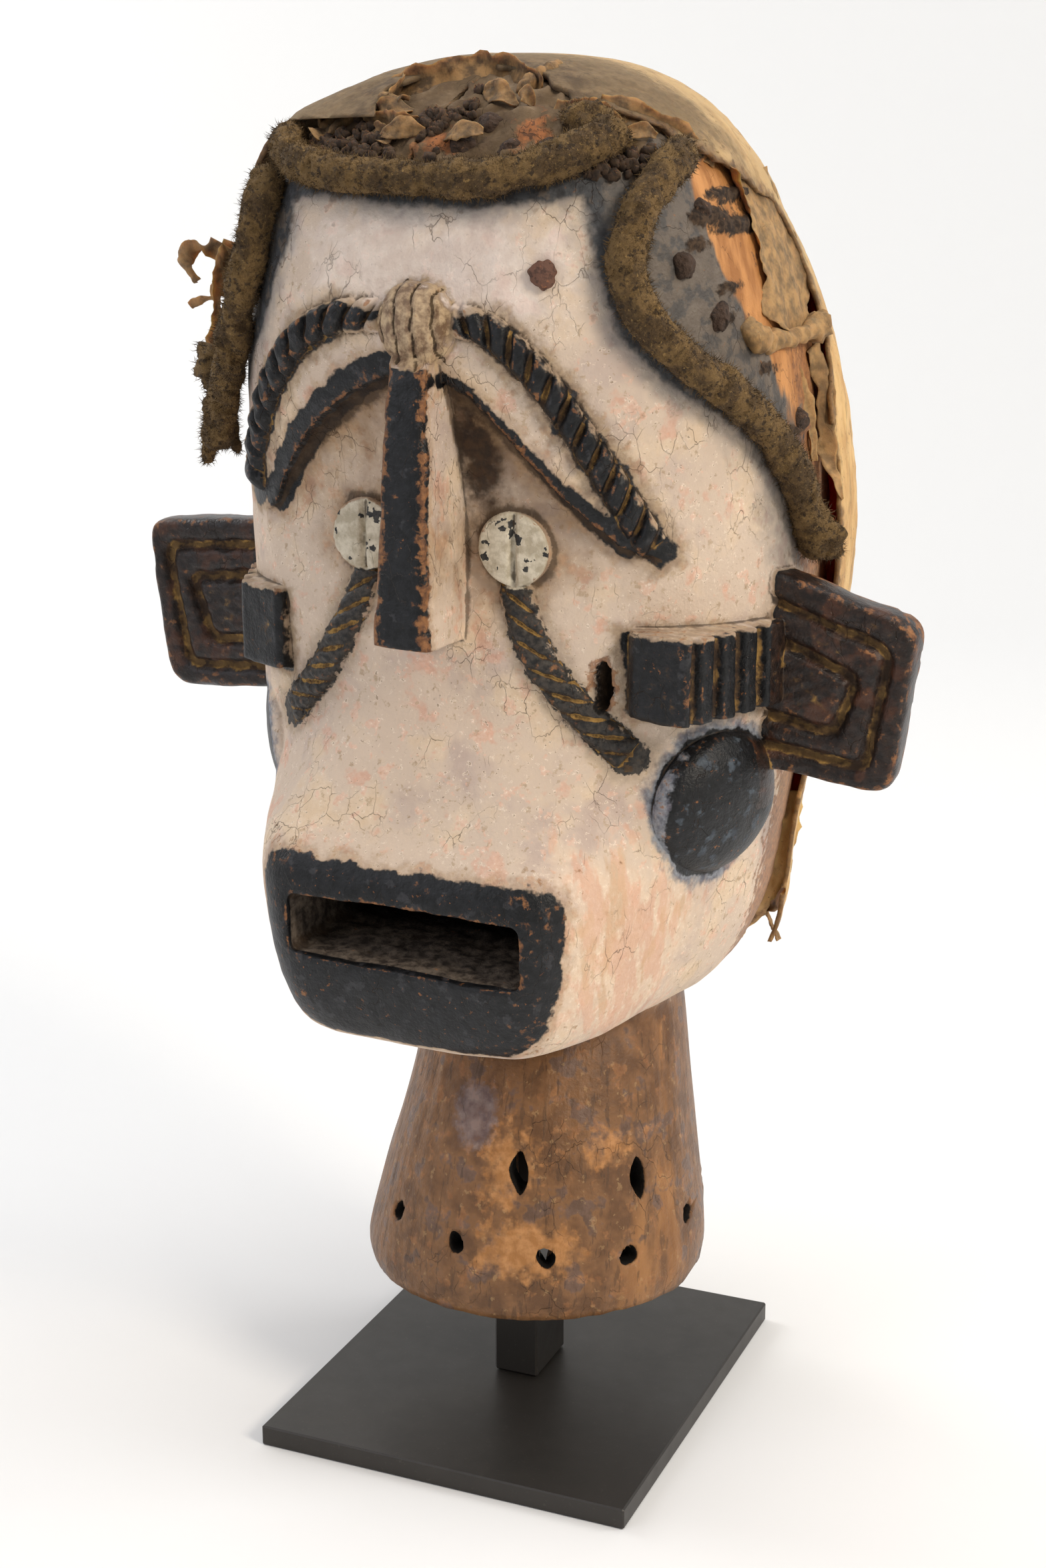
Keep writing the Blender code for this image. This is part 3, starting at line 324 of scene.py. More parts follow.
def set_lights():
    """A warm key from the right, a cool fill, a top light, two on the backdrop and a pale world."""
    mask, backdrop = (0, 0, 0.3), (-0.6, 2.4, 0.9)
    soft_box("key from the right", (1.55, -0.62, 1.3), mask, 0.5, 19.5, "fff3e2")
    soft_box("fill over the left shoulder", (-1.0, -1.3, 1.2), mask, 1.2, 8.0, "f2f4ff")
    soft_box("top", (0.15, 0.0, 1.8), mask, 0.9, 9.0, "ffffff")
    soft_box("backdrop from the left", (-2.6, 0.6, 1.9), backdrop, 1.4, 38.0, "ffffff")
    soft_box("backdrop from the right", (2.2, 1.2, 2.1), backdrop, 1.4, 32.0, "ffffff")
    world = bpy.data.worlds.new("studio")
    world.use_nodes = True
    world.node_tree.nodes["Background"].inputs["Color"].default_value = linear("fafaf8")
    world.node_tree.nodes["Background"].inputs["Strength"].default_value = 0.38
    bpy.context.scene.world = world
    bpy.context.scene.view_settings.view_transform = "Standard"


def grid_faces(rings, around, first):
    """Quads between rings of points, as an array of corner numbers."""
    i = np.arange(around)
    j = (i + 1) % around
    low = first + np.arange(rings - 1)[:, None] * around
    high = low + around
    return np.stack([low + i, low + j, high + j, high + i], -1).reshape(-1, 4)


def smooth_table(rows, steps=24):
    """A smooth curve through the rows of a table, as a finer table."""
    rows = np.array(rows, float)
    slope = np.gradient(rows, axis=0)
    t = np.linspace(0, 1, steps, endpoint=False)[:, None, None]
    start, end, s0, s1 = rows[:-1], rows[1:], slope[:-1], slope[1:]
    curve = ((2 * t**3 - 3 * t**2 + 1) * start + (t**3 - 2 * t**2 + t) * s0
             + (-2 * t**3 + 3 * t**2) * end + (t**3 - t**2) * s1)
    curve = curve.transpose(1, 0, 2).reshape(-1, rows.shape[1])
    return np.vstack([curve, rows[-1:]])


SECTION_CURVE = smooth_table(SECTIONS)
MUZZLE_CURVE = smooth_table(MUZZLE)
SOCKET_CURVE = smooth_table(SOCKET)


def read_curve(curve, height):
    """Every column of a smoothed table at the given heights."""
    return [np.interp(height, curve[:, 0], column) for column in curve.T[1:]]


def smooth_step(value):
    """A rise from 0 to 1 that starts and ends level: three squares less two cubes."""
    value = np.clip(value, 0, 1)
    return value * value * (3 - 2 * value)


def axis_y(height):
    """Depth of the line that the skin's angles turn about."""
    front, back = read_curve(SECTION_CURVE, height)[1:3]
    share = np.clip((height - NECK_TOP + 3) / 25, 0, 1)
    return (1 - share) * (front + back) / 2 + share * HEAD_AXIS_Y


def skin_radius(angle, height):
    """Distance from the axis to the wood: a superellipse, blended with the muzzle's flat sides.

    Both shapes are distances along the same spoke, and the larger one wins, with its corner
    rounded by adding the two at a high power.
    """
    half, front, back, _, power = read_curve(SECTION_CURVE, height)
    centre = axis_y(height)
    across, along = np.cos(angle), np.sin(angle)
    is_front = along < 0
    rounder = np.interp(height, (331, 411), (BACK_POWER, CROWN_POWER))
    power = np.where(is_front, power, np.where(height < NECK_TOP, 2.0, rounder))
    reach = np.where(is_front, centre - front, back - centre)
    skull = (np.abs(across / half) ** power + np.abs(along / reach) ** power) ** (-1 / power)
    flat, flat_half = read_curve(MUZZLE_CURVE, height)
    on = (height > MUZZLE[0][0]) & (height < MUZZLE[-1][0]) & is_front
    normal_x, normal_y = MUZZLE_SIDE_Y - (flat + 3), flat_half - half
    length = np.hypot(normal_x, normal_y)
    side = (flat_half * normal_x + (flat + 3 - centre) * normal_y) / length
    facing = (np.abs(across) * normal_x + along * normal_y) / length
    no_hit, edge, corner = 1000.0, 16.0, 26
    to_front = np.where(along < -0.001, (centre - flat) / np.maximum(-along, 0.001), no_hit)
    to_side = np.where(facing > 0.001, side / np.maximum(facing, 0.001), no_hit)
    to_limit = 0.9 * half / np.maximum(np.abs(across), 0.0009)
    planes = np.stack([np.clip(d, 1, no_hit) for d in (to_front, to_side, to_limit)])
    muzzle = (planes ** -edge).sum(0) ** (-1 / edge)
    muzzle = np.where(on, muzzle, 1) * np.clip(-along / 0.12, 0, 1)
    return (skull**corner + muzzle**corner) ** (1 / corner)


def skin(angle, height):
    """Points of the uncarved wood, in drawing millimetres."""
    angle, height = np.broadcast_arrays(np.asarray(angle, float), np.asarray(height, float))
    middle = read_curve(SECTION_CURVE, height)[3]
    radius = skin_radius(angle, height)
    x, y = middle + radius * np.cos(angle), axis_y(height) + radius * np.sin(angle)
    return np.stack([x, y, height], -1)


def front_skin(x, height):
    """The uncarved front at a half width, found by halving the angle's range."""
    x, height = np.broadcast_arrays(np.asarray(x, float), np.asarray(height, float))
    low, high = np.full(x.shape, -math.pi), np.zeros(x.shape)
    for _ in range(26):
        middle = (low + high) / 2
        short = skin(middle, height)[..., 0] < x
        low, high = np.where(short, middle, low), np.where(short, high, middle)
    return skin((low + high) / 2, height)


def brow_line(x):
    """Height of the brows' lower edge."""
    right = np.interp(x, *zip(*BROW_RIGHT))
    left = np.interp(-x, *zip(*BROW_LEFT))
    return np.where(x > 0, right, left)


def socket_depth(x, height):
    """Depth of the surface carved back below the brows."""
    return read_curve(SOCKET_CURVE, height)[0] + SOCKET_BEND * x * x


def face_skin(x, height):
    """The front with the eye sockets carved."""
    points = front_skin(x, height)
    carved = (height < brow_line(points[..., 0])) & (height > SOCKET[0][0])
    deep = np.maximum(points[..., 1], socket_depth(points[..., 0], points[..., 2]))
    points[..., 1] = np.where(carved, deep, points[..., 1])
    return points


def outward(surface, u, v, step_u=0.5, step_v=0.5):
    """Unit normals of a surface of two parameters, by differences."""
    du = surface(u + step_u, v) - surface(u - step_u, v)
    dv = surface(u, v + step_v) - surface(u, v - step_v)
    return unit(np.cross(du, dv))


def skin_out(angle, height):
    """The way out of the uncarved wood at an angle and a height, as a unit vector."""
    return outward(skin, angle, height, step_u=0.01)


def lean_share(height):
    """How far the head's lean acts at a height: nothing at the neck and at the crown."""
    return smooth_step((height - NECK_TOP - 5) / 25) * smooth_step((411 - height) / 70)


def place(points):
    """Drawing millimetres to metres: the head leans a little to its left, on the rim's height."""
    points = np.array(points, float).reshape(-1, 3)
    points[:, 2] -= LEAN * lean_share(points[:, 2]) * points[:, 0]
    points *= SCALE
    points[:, 2] += RIM_Z
    return points


def undo_place(points):
    """Metres back to drawing millimetres, by repeating the lean until it settles."""
    points = np.array(points, float)
    points[:, 2] -= RIM_Z
    points /= SCALE
    height = points[:, 2]
    for _ in range(4):
        height = points[:, 2] + LEAN * lean_share(height) * points[:, 0]
    points[:, 2] = height
    return points


def noise(points, size, seed=0):
    """Smooth random values from -1 to 1, with lumps of one size, or of a size each way.

    Each corner of a lattice gets a random value from whole-number arithmetic on its place, and
    the values blend smoothly between the corners.
    """
    spot = points / np.asarray(size, float) + seed * 7.31
    cell = np.floor(spot).astype(np.int64)
    part = smooth_step(spot - cell)
    total = np.zeros(spot.shape[:-1])
    for corner in itertools.product((0, 1), repeat=3):
        at = cell + corner
        x, y, z = np.moveaxis(at, -1, 0)
        code = x * 73856093 ^ y * 19349663 ^ z * 83492791 ^ (seed * 2654435761)
        code = (code ^ (code >> 13)) * 1274126177 & 0x7FFFFFFF
        code = (code ^ (code >> 15)) & 0xFFFFFF
        weight = np.prod(np.where(corner, part, 1 - part), axis=-1)
        total += weight * (code / 0x7FFFFF - 1)
    return total


def layers(points, size, seed=0, count=3):
    """Sum of noises, each half the size and strength of the one before."""
    return sum(noise(points, np.asarray(size) / 2**k, seed + k) / 2**k for k in range(count))


def path_distance(x, z, path):
    """Distance from points to a broken line, and the share of the line that is nearest."""
    path = np.array(path, float)
    start, step = path[:-1], np.diff(path, axis=0)
    spot = np.stack([np.ravel(x), np.ravel(z)], -1)[:, None, :]
    share = np.clip(((spot - start) * step).sum(-1) / (step**2).sum(-1), 0, 1)
    away = np.linalg.norm(spot - start - share[..., None] * step, axis=-1)
    nearest = away.argmin(1)
    row = np.arange(len(away))
    return away[row, nearest], (nearest + share[row, nearest]) / len(step)


def inside_outline(x, z, outline):
    """Whether points lie inside a closed outline: an odd number of its edges cross to the right."""
    outline = np.array(outline, float)
    ends = np.roll(outline, -1, axis=0)
    x, z = np.ravel(x)[:, None], np.ravel(z)[:, None]
    spans = (outline[:, 1] > z) != (ends[:, 1] > z)
    rise = np.where(ends[:, 1] == outline[:, 1], 1, ends[:, 1] - outline[:, 1])
    cross = outline[:, 0] + (z - outline[:, 1]) * (ends[:, 0] - outline[:, 0]) / rise
    return (spans & (x < cross)).sum(1) % 2 == 1


def closed_mesh(name, points, faces):
    """A mesh of closed shells with every face pointing outwards, from points in metres."""
    mesh = point_mesh(points, faces, name)
    shell = bmesh.new()
    shell.from_mesh(mesh)
    bmesh.ops.recalc_face_normals(shell, faces=shell.faces)
    shell.to_mesh(mesh)
    shell.free()
    return mesh


def loft(name, *groups):
    """An object of one or more closed solids, each a stack of rings in drawing millimetres."""
    points, faces, first = [], [], 0
    for rings in groups:
        rings = np.array(rings, float)
        count, around = rings.shape[:2]
        faces += grid_faces(count, around, first).tolist()
        faces.append(list(range(first + around - 1, first - 1, -1)))
        faces.append(list(range(first + (count - 1) * around, first + count * around)))
        points.append(place(rings))
        first += count * around
    return new_object(name, closed_mesh(name, np.vstack(points), faces))


def carve(target, tools, operation):
    """Joins the tools to a solid or cuts them out of it, and removes the tools."""
    for tool in tools:
        change = target.modifiers.new(tool.name, "BOOLEAN")
        change.operation, change.object, change.solver = operation, tool, "MANIFOLD"
    graph = bpy.context.evaluated_depsgraph_get()
    mesh = bpy.data.meshes.new_from_object(target.evaluated_get(graph))
    target.modifiers.clear()
    target.data = mesh
    for tool in tools:
        bpy.data.objects.remove(tool)


def resample(path, count, closed=False):
    """Points at even steps along a broken line or a closed outline."""
    path = np.array(path, float)
    if closed:
        path = np.vstack([path, path[:1]])
    length = np.concatenate([[0], np.cumsum(np.linalg.norm(np.diff(path, axis=0), axis=1))])
    share = np.linspace(0, length[-1], count, endpoint=not closed)
    return np.stack([np.interp(share, length, column) for column in path.T], -1)


def spaced(path, shares):
    """Points along a smooth curve through the path, at shares of its length."""
    curve = smooth_table(path)
    length = np.concatenate([[0], np.cumsum(np.linalg.norm(np.diff(curve, axis=0), axis=1))])
    spot = np.clip(shares, 0, 1) * length[-1]
    return np.stack([np.interp(spot, length, column) for column in curve.T], -1)


def rounded(corners, radius, steps=8):
    """A closed outline with each corner turned into a short arc."""
    corners = np.array(corners, float)
    before, after = np.roll(corners, 1, 0) - corners, np.roll(corners, -1, 0) - corners
    start = corners + before / np.linalg.norm(before, axis=1, keepdims=True) * radius
    end = corners + after / np.linalg.norm(after, axis=1, keepdims=True) * radius
    t = np.linspace(0, 1, steps)[None, :, None]
    arcs = (1 - t) ** 2 * start[:, None] + 2 * t * (1 - t) * corners[:, None] + t * t * end[:, None]
    return arcs.reshape(-1, corners.shape[1])


def point_mesh(points, faces, name):
    """A mesh from points in metres and faces of corner numbers."""
    mesh = bpy.data.meshes.new(name)
    mesh.from_pydata(points.tolist(), [], faces)
    return mesh


def head_lines():
    """Angles and heights of the wood's rows of points: fine in front, coarse under the hide."""
    fine, coarse = HEAD_COLUMNS
    columns = np.radians(np.concatenate([np.linspace(-172, -8, fine), np.linspace(-3, 183, coarse)]))
    run = np.hypot(np.diff(SECTION_CURVE[:, 2]), np.diff(SECTION_CURVE[:, 0]))
    run += 0.35 * np.hypot(np.diff(SECTION_CURVE[:, 1]), np.diff(SECTION_CURVE[:, 0]))
    run *= np.where(SECTION_CURVE[1:, 0] < 96, 0.5, 1)
    run = np.concatenate([[0], np.cumsum(run)])
    return columns, np.interp(np.linspace(0, run[-1], HEAD_ROWS), run, SECTION_CURVE[:, 0])


def socket_cutter():
    """Both eye sockets: from the brows' lower edge down, back to the carved depth."""
    side = np.linspace(6, 84, 70)
    columns = np.concatenate([-side[::-1], (-3, 0, 3), side])
    top = brow_line(columns) + 0.25 * np.sin(columns * 0.9)
    low = SOCKET[0][0]
    shares = np.linspace(0, 1, 46)
    heights = low + (top - low)[:, None] * shares
    depth = socket_depth(columns[:, None], heights)
    back = np.stack([columns[:, None] + 0 * heights, depth, heights], -1)
    front = np.stack([columns, np.full(columns.shape, -135.0), top + 7], -1)
    foot = np.stack([columns, np.full(columns.shape, -135.0), np.full(columns.shape, low)], -1)
    return loft("sockets", np.concatenate([back, front[:, None], foot[:, None]], 1))


def band(surface, path, half_width, height, steps, lanes):
    """A raised band along a path on the face.

    Each ring runs from one sunk corner over the top to the other. The height is a function of
    the share along the path and of the place across it, from -1 to 1.
    """
    along = np.linspace(0.012, 0.988, steps)
    lane = np.linspace(-1, 1, lanes)
    middle = spaced(path, along)
    ahead, behind = spaced(path, along + 0.012), spaced(path, along - 0.012)
    forward = surface(ahead[:, 0], ahead[:, 1]) - surface(behind[:, 0], behind[:, 1])
    out = outward(surface, middle[:, 0], middle[:, 1], 2.5, 2.5)
    across = unit(np.cross(out, forward))
    base = surface(middle[:, 0], middle[:, 1])
    rise = height(along[:, None], lane[None, :])
    top = base[:, None] + across[:, None] * lane[:, None] * half_width + out[:, None] * rise[..., None]
    ends = [base + across * half_width * side - out * 4 for side in (-1, 1)]
    return np.concatenate([ends[0][:, None], top, ends[1][:, None]], 1)


def teeth(count, rise, bite, slant, wall=0.10):
    """Height of a notched band: flat slanting teeth with a cut between each two."""
    def height(along, lane):
        """Height in mm at a share along the band and a place across it."""
        place_in_tooth = (along * count + slant * lane) % 1.0
        cut = smooth_step((place_in_tooth - 0.60) / wall) * smooth_step((1.0 - place_in_tooth) / 0.16)
        lump = 0.22 * np.sin(along * 61.0 + lane * 2.1) + 0.16 * np.sin(along * 143.0)
        edge = np.clip(1 - np.abs(lane) ** 7, 0, 1)
        fade = smooth_step(along / 0.05) * smooth_step((1 - along) / 0.05)
        return (rise * (0.25 + 0.75 * edge) + lump - bite * cut) * (0.3 + 0.7 * fade)
    return height


def ridges():
    """The notched ridges over the brows and the grooved bands of tears under the eyes."""
    made = []
    for side, path in ((1, RIDGE_RIGHT), (-1, RIDGE_LEFT)):
        path = [(x * side, z) for x, z in path]
        rings = band(front_skin, path, 5.5, teeth(12, 4.5, 3.3, 0.42 * side), 250, 15)
        made.append(loft("ridge", rings))
    for side in (1, -1):
        path = [(x * side, z) for x, z in TEAR]
        rings = band(face_skin, path, 6.0, teeth(8, 2.8, 1.9, -0.85 * side, 0.2), 150, 15)
        made.append(loft("tear", rings))
    return made


def nose():
    """The slit-like nose: a square section with eased corners, carried down the middle."""
    table = smooth_table(NOSE, 12)
    heights = np.linspace(NOSE[0][0], NOSE[-1][0], 80)
    half, front = [np.interp(heights, table[:, 0], column) for column in table.T[1:]]
    rings = []
    for z, wide, deep in zip(heights, half, front):
        corners = [(-wide - 1, NOSE_ROOT), (-wide, deep), (wide, deep), (wide + 1, NOSE_ROOT)]
        outline = resample(rounded(corners, 1.4, 5), 64, closed=True)
        rings.append(np.column_stack([outline, np.full(len(outline), z)]))
    return loft("nose", rings)


def knot():
    """The ribbed knot between the brows: an ellipsoid with a fine wave around it."""
    level = np.radians(np.linspace(-80, 80, 34))[:, None]
    turn = full_turn(96)[None, :]
    rib = 1 + 0.075 * np.abs(np.cos(turn * 5 + 0.4)) ** 0.7 - 0.03
    wide = np.cos(level) ** 0.8 * rib
    across, along, up = KNOT_RADII
    rings = np.stack([across * wide * np.cos(turn), KNOT[0] + along * wide * np.sin(turn),
                      KNOT[1] + up * np.sin(level) + 0 * turn], -1)
    return loft("knot", rings)


def sideways(out):
    """Two directions at right angles to a given one: level to the side, and upwards."""
    right = unit(np.cross(out, (0, 0, 1)))
    return right, np.cross(right, out)


def spokes(middle, out, count):
    """Unit vectors around a curve, square to its run: first across it, then up from it."""
    across, up = curve_ways(middle, out)
    turn = full_turn(count)[None, :, None]
    return np.cos(turn) * across[:, None] + np.sin(turn) * up[:, None]


def curve_ways(middle, out):
    """Directions across a curve and up from it, square to its run and near the way out."""
    forward = unit(np.gradient(middle, axis=0))
    across = unit(np.cross(out, forward))
    return across, np.cross(forward, across)


def disc(centre, out, radius, profile, groove):
    """A turned disc from its sunk edge to its middle, with an upright groove across it."""
    out = unit(out)
    right, up = sideways(out)
    turn = full_turn(84)
    rings = []
    for share, height in profile:
        x, z = radius * share * np.cos(turn), radius * share * np.sin(turn)
        deep = height - groove * np.exp(-(x / 0.9) ** 2) * smooth_step((share - 1.02) / -0.05)
        rings.append(centre + x[:, None] * right + z[:, None] * up + deep[:, None] * out)
    return rings


def eyes():
    """The disc eyes, slightly domed, each with an upright groove."""
    made = []
    shares = np.linspace(0.985, 0.03, 24)
    profile = [(1, -5), (1.0, 3.6)] + [(s, 4.2 + 0.9 * (1 - s * s)) for s in shares]
    for side in (1, -1):
        x, z = np.array(EYE[0] * side), np.array(EYE[1])
        out = outward(face_skin, x, z, 4, 4) + (0, -1.2, 0)
        made.append(loft("eye", disc(face_skin(x, z), out, EYE_RADIUS, profile, 2.6)))
    return made


def dome(centre, out, radii, turns=80, levels=40):
    """Rings of an ellipsoid with one axis along a direction."""
    right, up = sideways(out)
    turn = full_turn(turns)[None, :, None]
    level = (np.linspace(-0.97, 0.97, levels) * math.pi / 2)[:, None, None]
    circle = np.cos(turn) * right * radii[1] + np.sin(turn) * up * radii[2]
    return centre + circle * np.cos(level) + out * radii[0] * np.sin(level)


def boss_place(side):
    """Middle of a cheek boss, and the way it faces."""
    angle, height = np.radians(-90.0 + side * BOSS[0]), np.array(BOSS[1])
    return skin(angle, height), skin_out(angle, height)


def cheek_pieces():
    """The fluted cheek bands, as a plan carried upwards, and the domed bosses under them."""
    made = []
    for side in (1, -1):
        corner, end = np.array(CHEEK_FRONT[side][-1]), np.array(CHEEK_END[side])
        along = (end - corner) / CHEEK_FLUTES
        inwards = np.array([-along[1], along[0]]) / np.linalg.norm(along) * FLUTE_DEPTH
        plan = CHEEK_FRONT[side][:-1]
        for flute in range(CHEEK_FLUTES):
            start = corner + along * flute
            plan += [start, start + along * 0.08 + inwards, start + along * 0.42 + inwards,
                     start + along * 0.50]
        plan = resample(plan + [end, (end[0], -8), (84, -8)], 230, closed=True)
        middle = plan.mean(0)
        rings = []
        low, high = CHEEK_BAND
        levels = [low, low + 0.7, *np.linspace(low + 1.6, high - 1.6, 18), high - 0.7, high]
        for z, shrink in zip(levels, [0.97, 0.992] + [1.0] * 18 + [0.992, 0.97]):
            ring = middle + (plan - middle) * shrink
            rings.append(np.column_stack([ring[:, 0] * side, ring[:, 1], np.full(len(ring), z)]))
        made.append(loft("cheek band", rings))
        centre, out = boss_place(side)
        made.append(loft("cheek boss", dome(centre - out * BOSS_SUNK[side], out, BOSS_RADII[side])))
    return made


def groove_path(outline, inset):
    """A C inside the ear's outline, open towards the head."""
    (top_in, top), (top_out, top_rim), (low_out, low_rim), (low_in, low) = outline
    corners = [(top_in - 4, top - inset), (top_out - inset, top_rim - inset),
               (low_out - inset, low_rim + inset), (low_in - 4, low + inset)]
    arcs = rounded(corners, 7.0 - inset * 0.12, 5)
    return np.vstack([[corners[0]], arcs[5:15], [corners[3]]])


def ears():
    """Each ear is a slab of rings: from the middle of its face, over its edge, to its back.

    Two grooves in the shape of a C are pressed into the face by their distance from their line.
    """
    made = []
    for side, corners in ((1, EAR_RIGHT), (-1, EAR_LEFT)):
        outline = resample(rounded(corners, 9.0), 150, closed=True)
        middle = outline.mean(0)
        shares = np.concatenate([np.linspace(0.03, 0.93, 30), (0.965, 0.987, 0.998, 1, 1, 1, 1, 0.985,
                                                                0.95, 0.8, 0.5, 0.1)])
        depth = np.concatenate([np.zeros(30), (0.5, 1.4, 2.7, 5.0, 8.0, 11.0, 14.0, 15.8,
                                               EAR_THICKNESS, EAR_THICKNESS, EAR_THICKNESS,
                                               EAR_THICKNESS)])
        spot = middle + (outline - middle) * shares[:, None, None]
        x, z = spot[..., 0].ravel(), spot[..., 1].ravel()
        front = EAR_FRONT + EAR_SWEEP * (x - corners[0][0]) / (corners[1][0] - corners[0][0])
        y = front + np.repeat(depth, len(outline))
        face = np.repeat(shares * (depth < 2), len(outline)) > 0
        for inset, deep, wide in ((EAR_GROOVES[0], 3.0, 2.0), (EAR_GROOVES[1], 3.2, 2.2)):
            away = path_distance(x, z, groove_path(corners, inset))[0]
            y += np.where(face, deep * np.exp(-(away / wide) ** 4), 0)
        ribs = 0.35 * np.sin(x * 0.7 + z * 0.9) + 0.25 * np.sin(z * 1.3 - x * 0.5)
        y += np.where(face, ribs * 0.6, 0)
        made.append(loft("ear", np.stack([x * side, y, z], -1).reshape(*spot.shape[:2], 3)))
    return made


def mouth_cutter():
    """The open mouth: a box that narrows a little inwards, its floor rough and rising."""
    half, low, high = MOUTH
    rings = []
    for y in np.linspace(-125, MOUTH_BACK, 44):
        deep = np.clip((y + 108) / (MOUTH_BACK + 108), 0, 1)
        shrink = 4.0 * deep - 1.0 * (y < -118)
        corners = [(-half + shrink, low + 5 * deep), (half - shrink, low + 5 * deep),
                   (half - shrink, high - shrink / 3), (-half + shrink, high - shrink / 3)]
        ring = resample(rounded(corners, 3.0), 150, closed=True)
        spot = np.column_stack([ring[:, 0], np.full(len(ring), y), ring[:, 1]])
        inner = smooth_step((y + 112) / 8)
        sag = 0.5 * inner * layers(spot, (9, 14, 9), 5)
        sag += 0.9 * inner * (ring[:, 1] < low + 6) * layers(spot, (5, 3, 5), 6)
        bow = 1.6 * (ring[:, 0] / half) ** 2 * (ring[:, 1] > high - 4) * (ring[:, 0] < 0)
        spot[:, 2] += sag - bow
        rings.append(spot)
    return loft("mouth", rings)


def neck_cutters():
    """The hollow of the neck, the lashing holes and slits, the cheek's slit and the crown's crack.

    The hollow follows the skin at the wall's thickness. A hole is an uneven oval carried along the
    way out of the neck, and flares at its mouth.
    """
    angles = full_turn(72)
    rings = []
    for height in (-10.0, -0.2, 10.0, 38.0, 76.0, 80.0, 85.0):
        source = np.full(angles.shape, max(height, 0.0))
        points = skin(angles, source)
        centre = np.stack([read_curve(SECTION_CURVE, source)[3], axis_y(source), source], -1)
        spoke = points - centre
        length = np.linalg.norm(spoke, axis=1, keepdims=True)
        shrink = NECK_WALL + 9.0 * max(0.0, (height - 76) / 9) ** 2
        inner = centre + spoke / length * (length - shrink)
        inner[:, 2] = height
        rings.append(inner)
    cutters = [loft("neck hollow", rings)]
    turn = full_turn(18)[:, None]
    bores = []
    sizes = [(LASHING_BORE, LASHING_BORE)] * len(LASHING_HOLES) + \
            [(LASHING_BORE + 0.6, SLIT_LENGTH)] * len(LASHING_SLITS)
    for (degrees, height), (wide, tall) in zip(LASHING_HOLES + LASHING_SLITS, sizes):
        angle, level = np.array(math.radians(degrees)), np.array(float(height))
        out = np.array([math.cos(angle), math.sin(angle), 0])
        right = np.array([-out[1], out[0], 0])
        wave = 1 + 0.10 * np.sin(turn * 2 + degrees) + 0.07 * np.sin(turn * 3 + height)
        across = np.sign(np.cos(turn)) * np.abs(np.cos(turn)) ** (1.0 + 0.5 * (tall > wide))
        circle = (across * right * wide + np.sin(turn) * np.array([0, 0, 1]) * tall) * wave / 2
        centre = skin(angle, level)
        bores.append([centre + circle * flare + out * deep
                      for flare, deep in ((1, -20), (1, -2), (1, 0), (1.12, 8))])
    cutters.append(loft("lashing bores", *bores))
    x, z = CHEEK_SLIT
    slit = [np.hstack([x + 2.7 * np.cos(turn), y + 0 * turn, z + 8.5 * np.sin(turn)]) for y in (-90, -52)]
    cutters.append(loft("cheek slit", slit))
    side, height = resample(CROWN_CRACK, 18).T
    wide = 1.7 * np.sin(np.linspace(0.12, 3.0, 18)) ** 0.7
    foot = skin(np.full(18, -1.62), height)[:, 1] + 9
    corners = [np.column_stack([side - wide * 0.1 + wide * share, y, height])
               for share, y in ((-1, 0 * foot - 95), (1, 0 * foot - 95), (0.3, foot), (-0.3, foot))]
    cutters.append(loft("crown crack", np.stack(corners, 1)))
    return cutters


def read(items, key, width=3, kind=float):
    """One property of a mesh's points or edges, as rows of numbers."""
    values = np.empty(len(items) * width, kind)
    items.foreach_get(key, values)
    return values.reshape(-1, width)


def write_points(mesh, points):
    """New places for the points of a mesh, in metres."""
    mesh.vertices.foreach_set("co", points.ravel())
    mesh.update()


def relax(points, edges, strength, times):
    """Moves each point part of the way to the mean of its neighbours, several times."""
    a, b = edges.T
    count = np.maximum(np.bincount(edges.ravel(), minlength=len(points)), 1)[:, None]
    points = points.copy()
    for _ in range(times):
        total = np.stack([
            np.bincount(a, points[b, k], len(points)) + np.bincount(b, points[a, k], len(points))
            for k in range(points.shape[1])], -1)
        points += strength * (total / count - points)
    return points


def write_value(mesh, name, values):
    """A number or a vector for every point of a mesh, for its material to read."""
    kind, key = ("FLOAT", "value") if values.ndim == 1 else ("FLOAT_VECTOR", "vector")
    attribute = mesh.attributes.new(name, kind, "POINT")
    attribute.data.foreach_set(key, values.astype(np.float32).ravel())


def finish_head(shape):
    """Rounds the carved wood a little, then moves each point along its normal by the relief.

    The relief is a function of the drawing place and of how far the point stands out of the
    smoothed surface around it. Both are returned.
    """
    mesh = shape.data
    edges = read(mesh.edges, "vertices", 2, np.int32)
    points = relax(read(mesh.vertices, "co"), edges, 0.5, 2)
    write_points(mesh, points)
    normals = read(mesh.vertex_normals, "vector")
    proud = ((points - relax(points, edges, 0.5, 14)) * normals).sum(1) * 1000
    spots = undo_place(points)
    relief = head_relief(spots, proud)
    write_points(mesh, points + normals * relief[:, None] * SCALE)
    return spots, proud


def on_tube(spots):
    """Drawing places moved level onto an upright tube of 50 mm, so that noise runs with the wood."""
    x, y, z = spots.T
    angle = np.arctan2(y - axis_y(z), x)
    return np.column_stack([50 * np.cos(angle), 50 * np.sin(angle), z])


def only(where, values):
    """The values in one part of the wood, and far outside the painted area elsewhere."""
    return np.where(where, values, FAR)


def inside_border(x, z, border, corners):
    """Distance from a border, positive in the area that it closes together with more corners."""
    away = path_distance(x, z, border)[0]
    return np.where(inside_outline(x, z, border + corners), away, -away)


def spot_field(x, z, *spots):
    """How far points lie inside the nearest of some ovals: middle, radius and squeeze each way."""
    return np.max([radius - np.hypot((x - a) * across, (z - b) * up)
                   for a, b, radius, across, up in spots], axis=0)


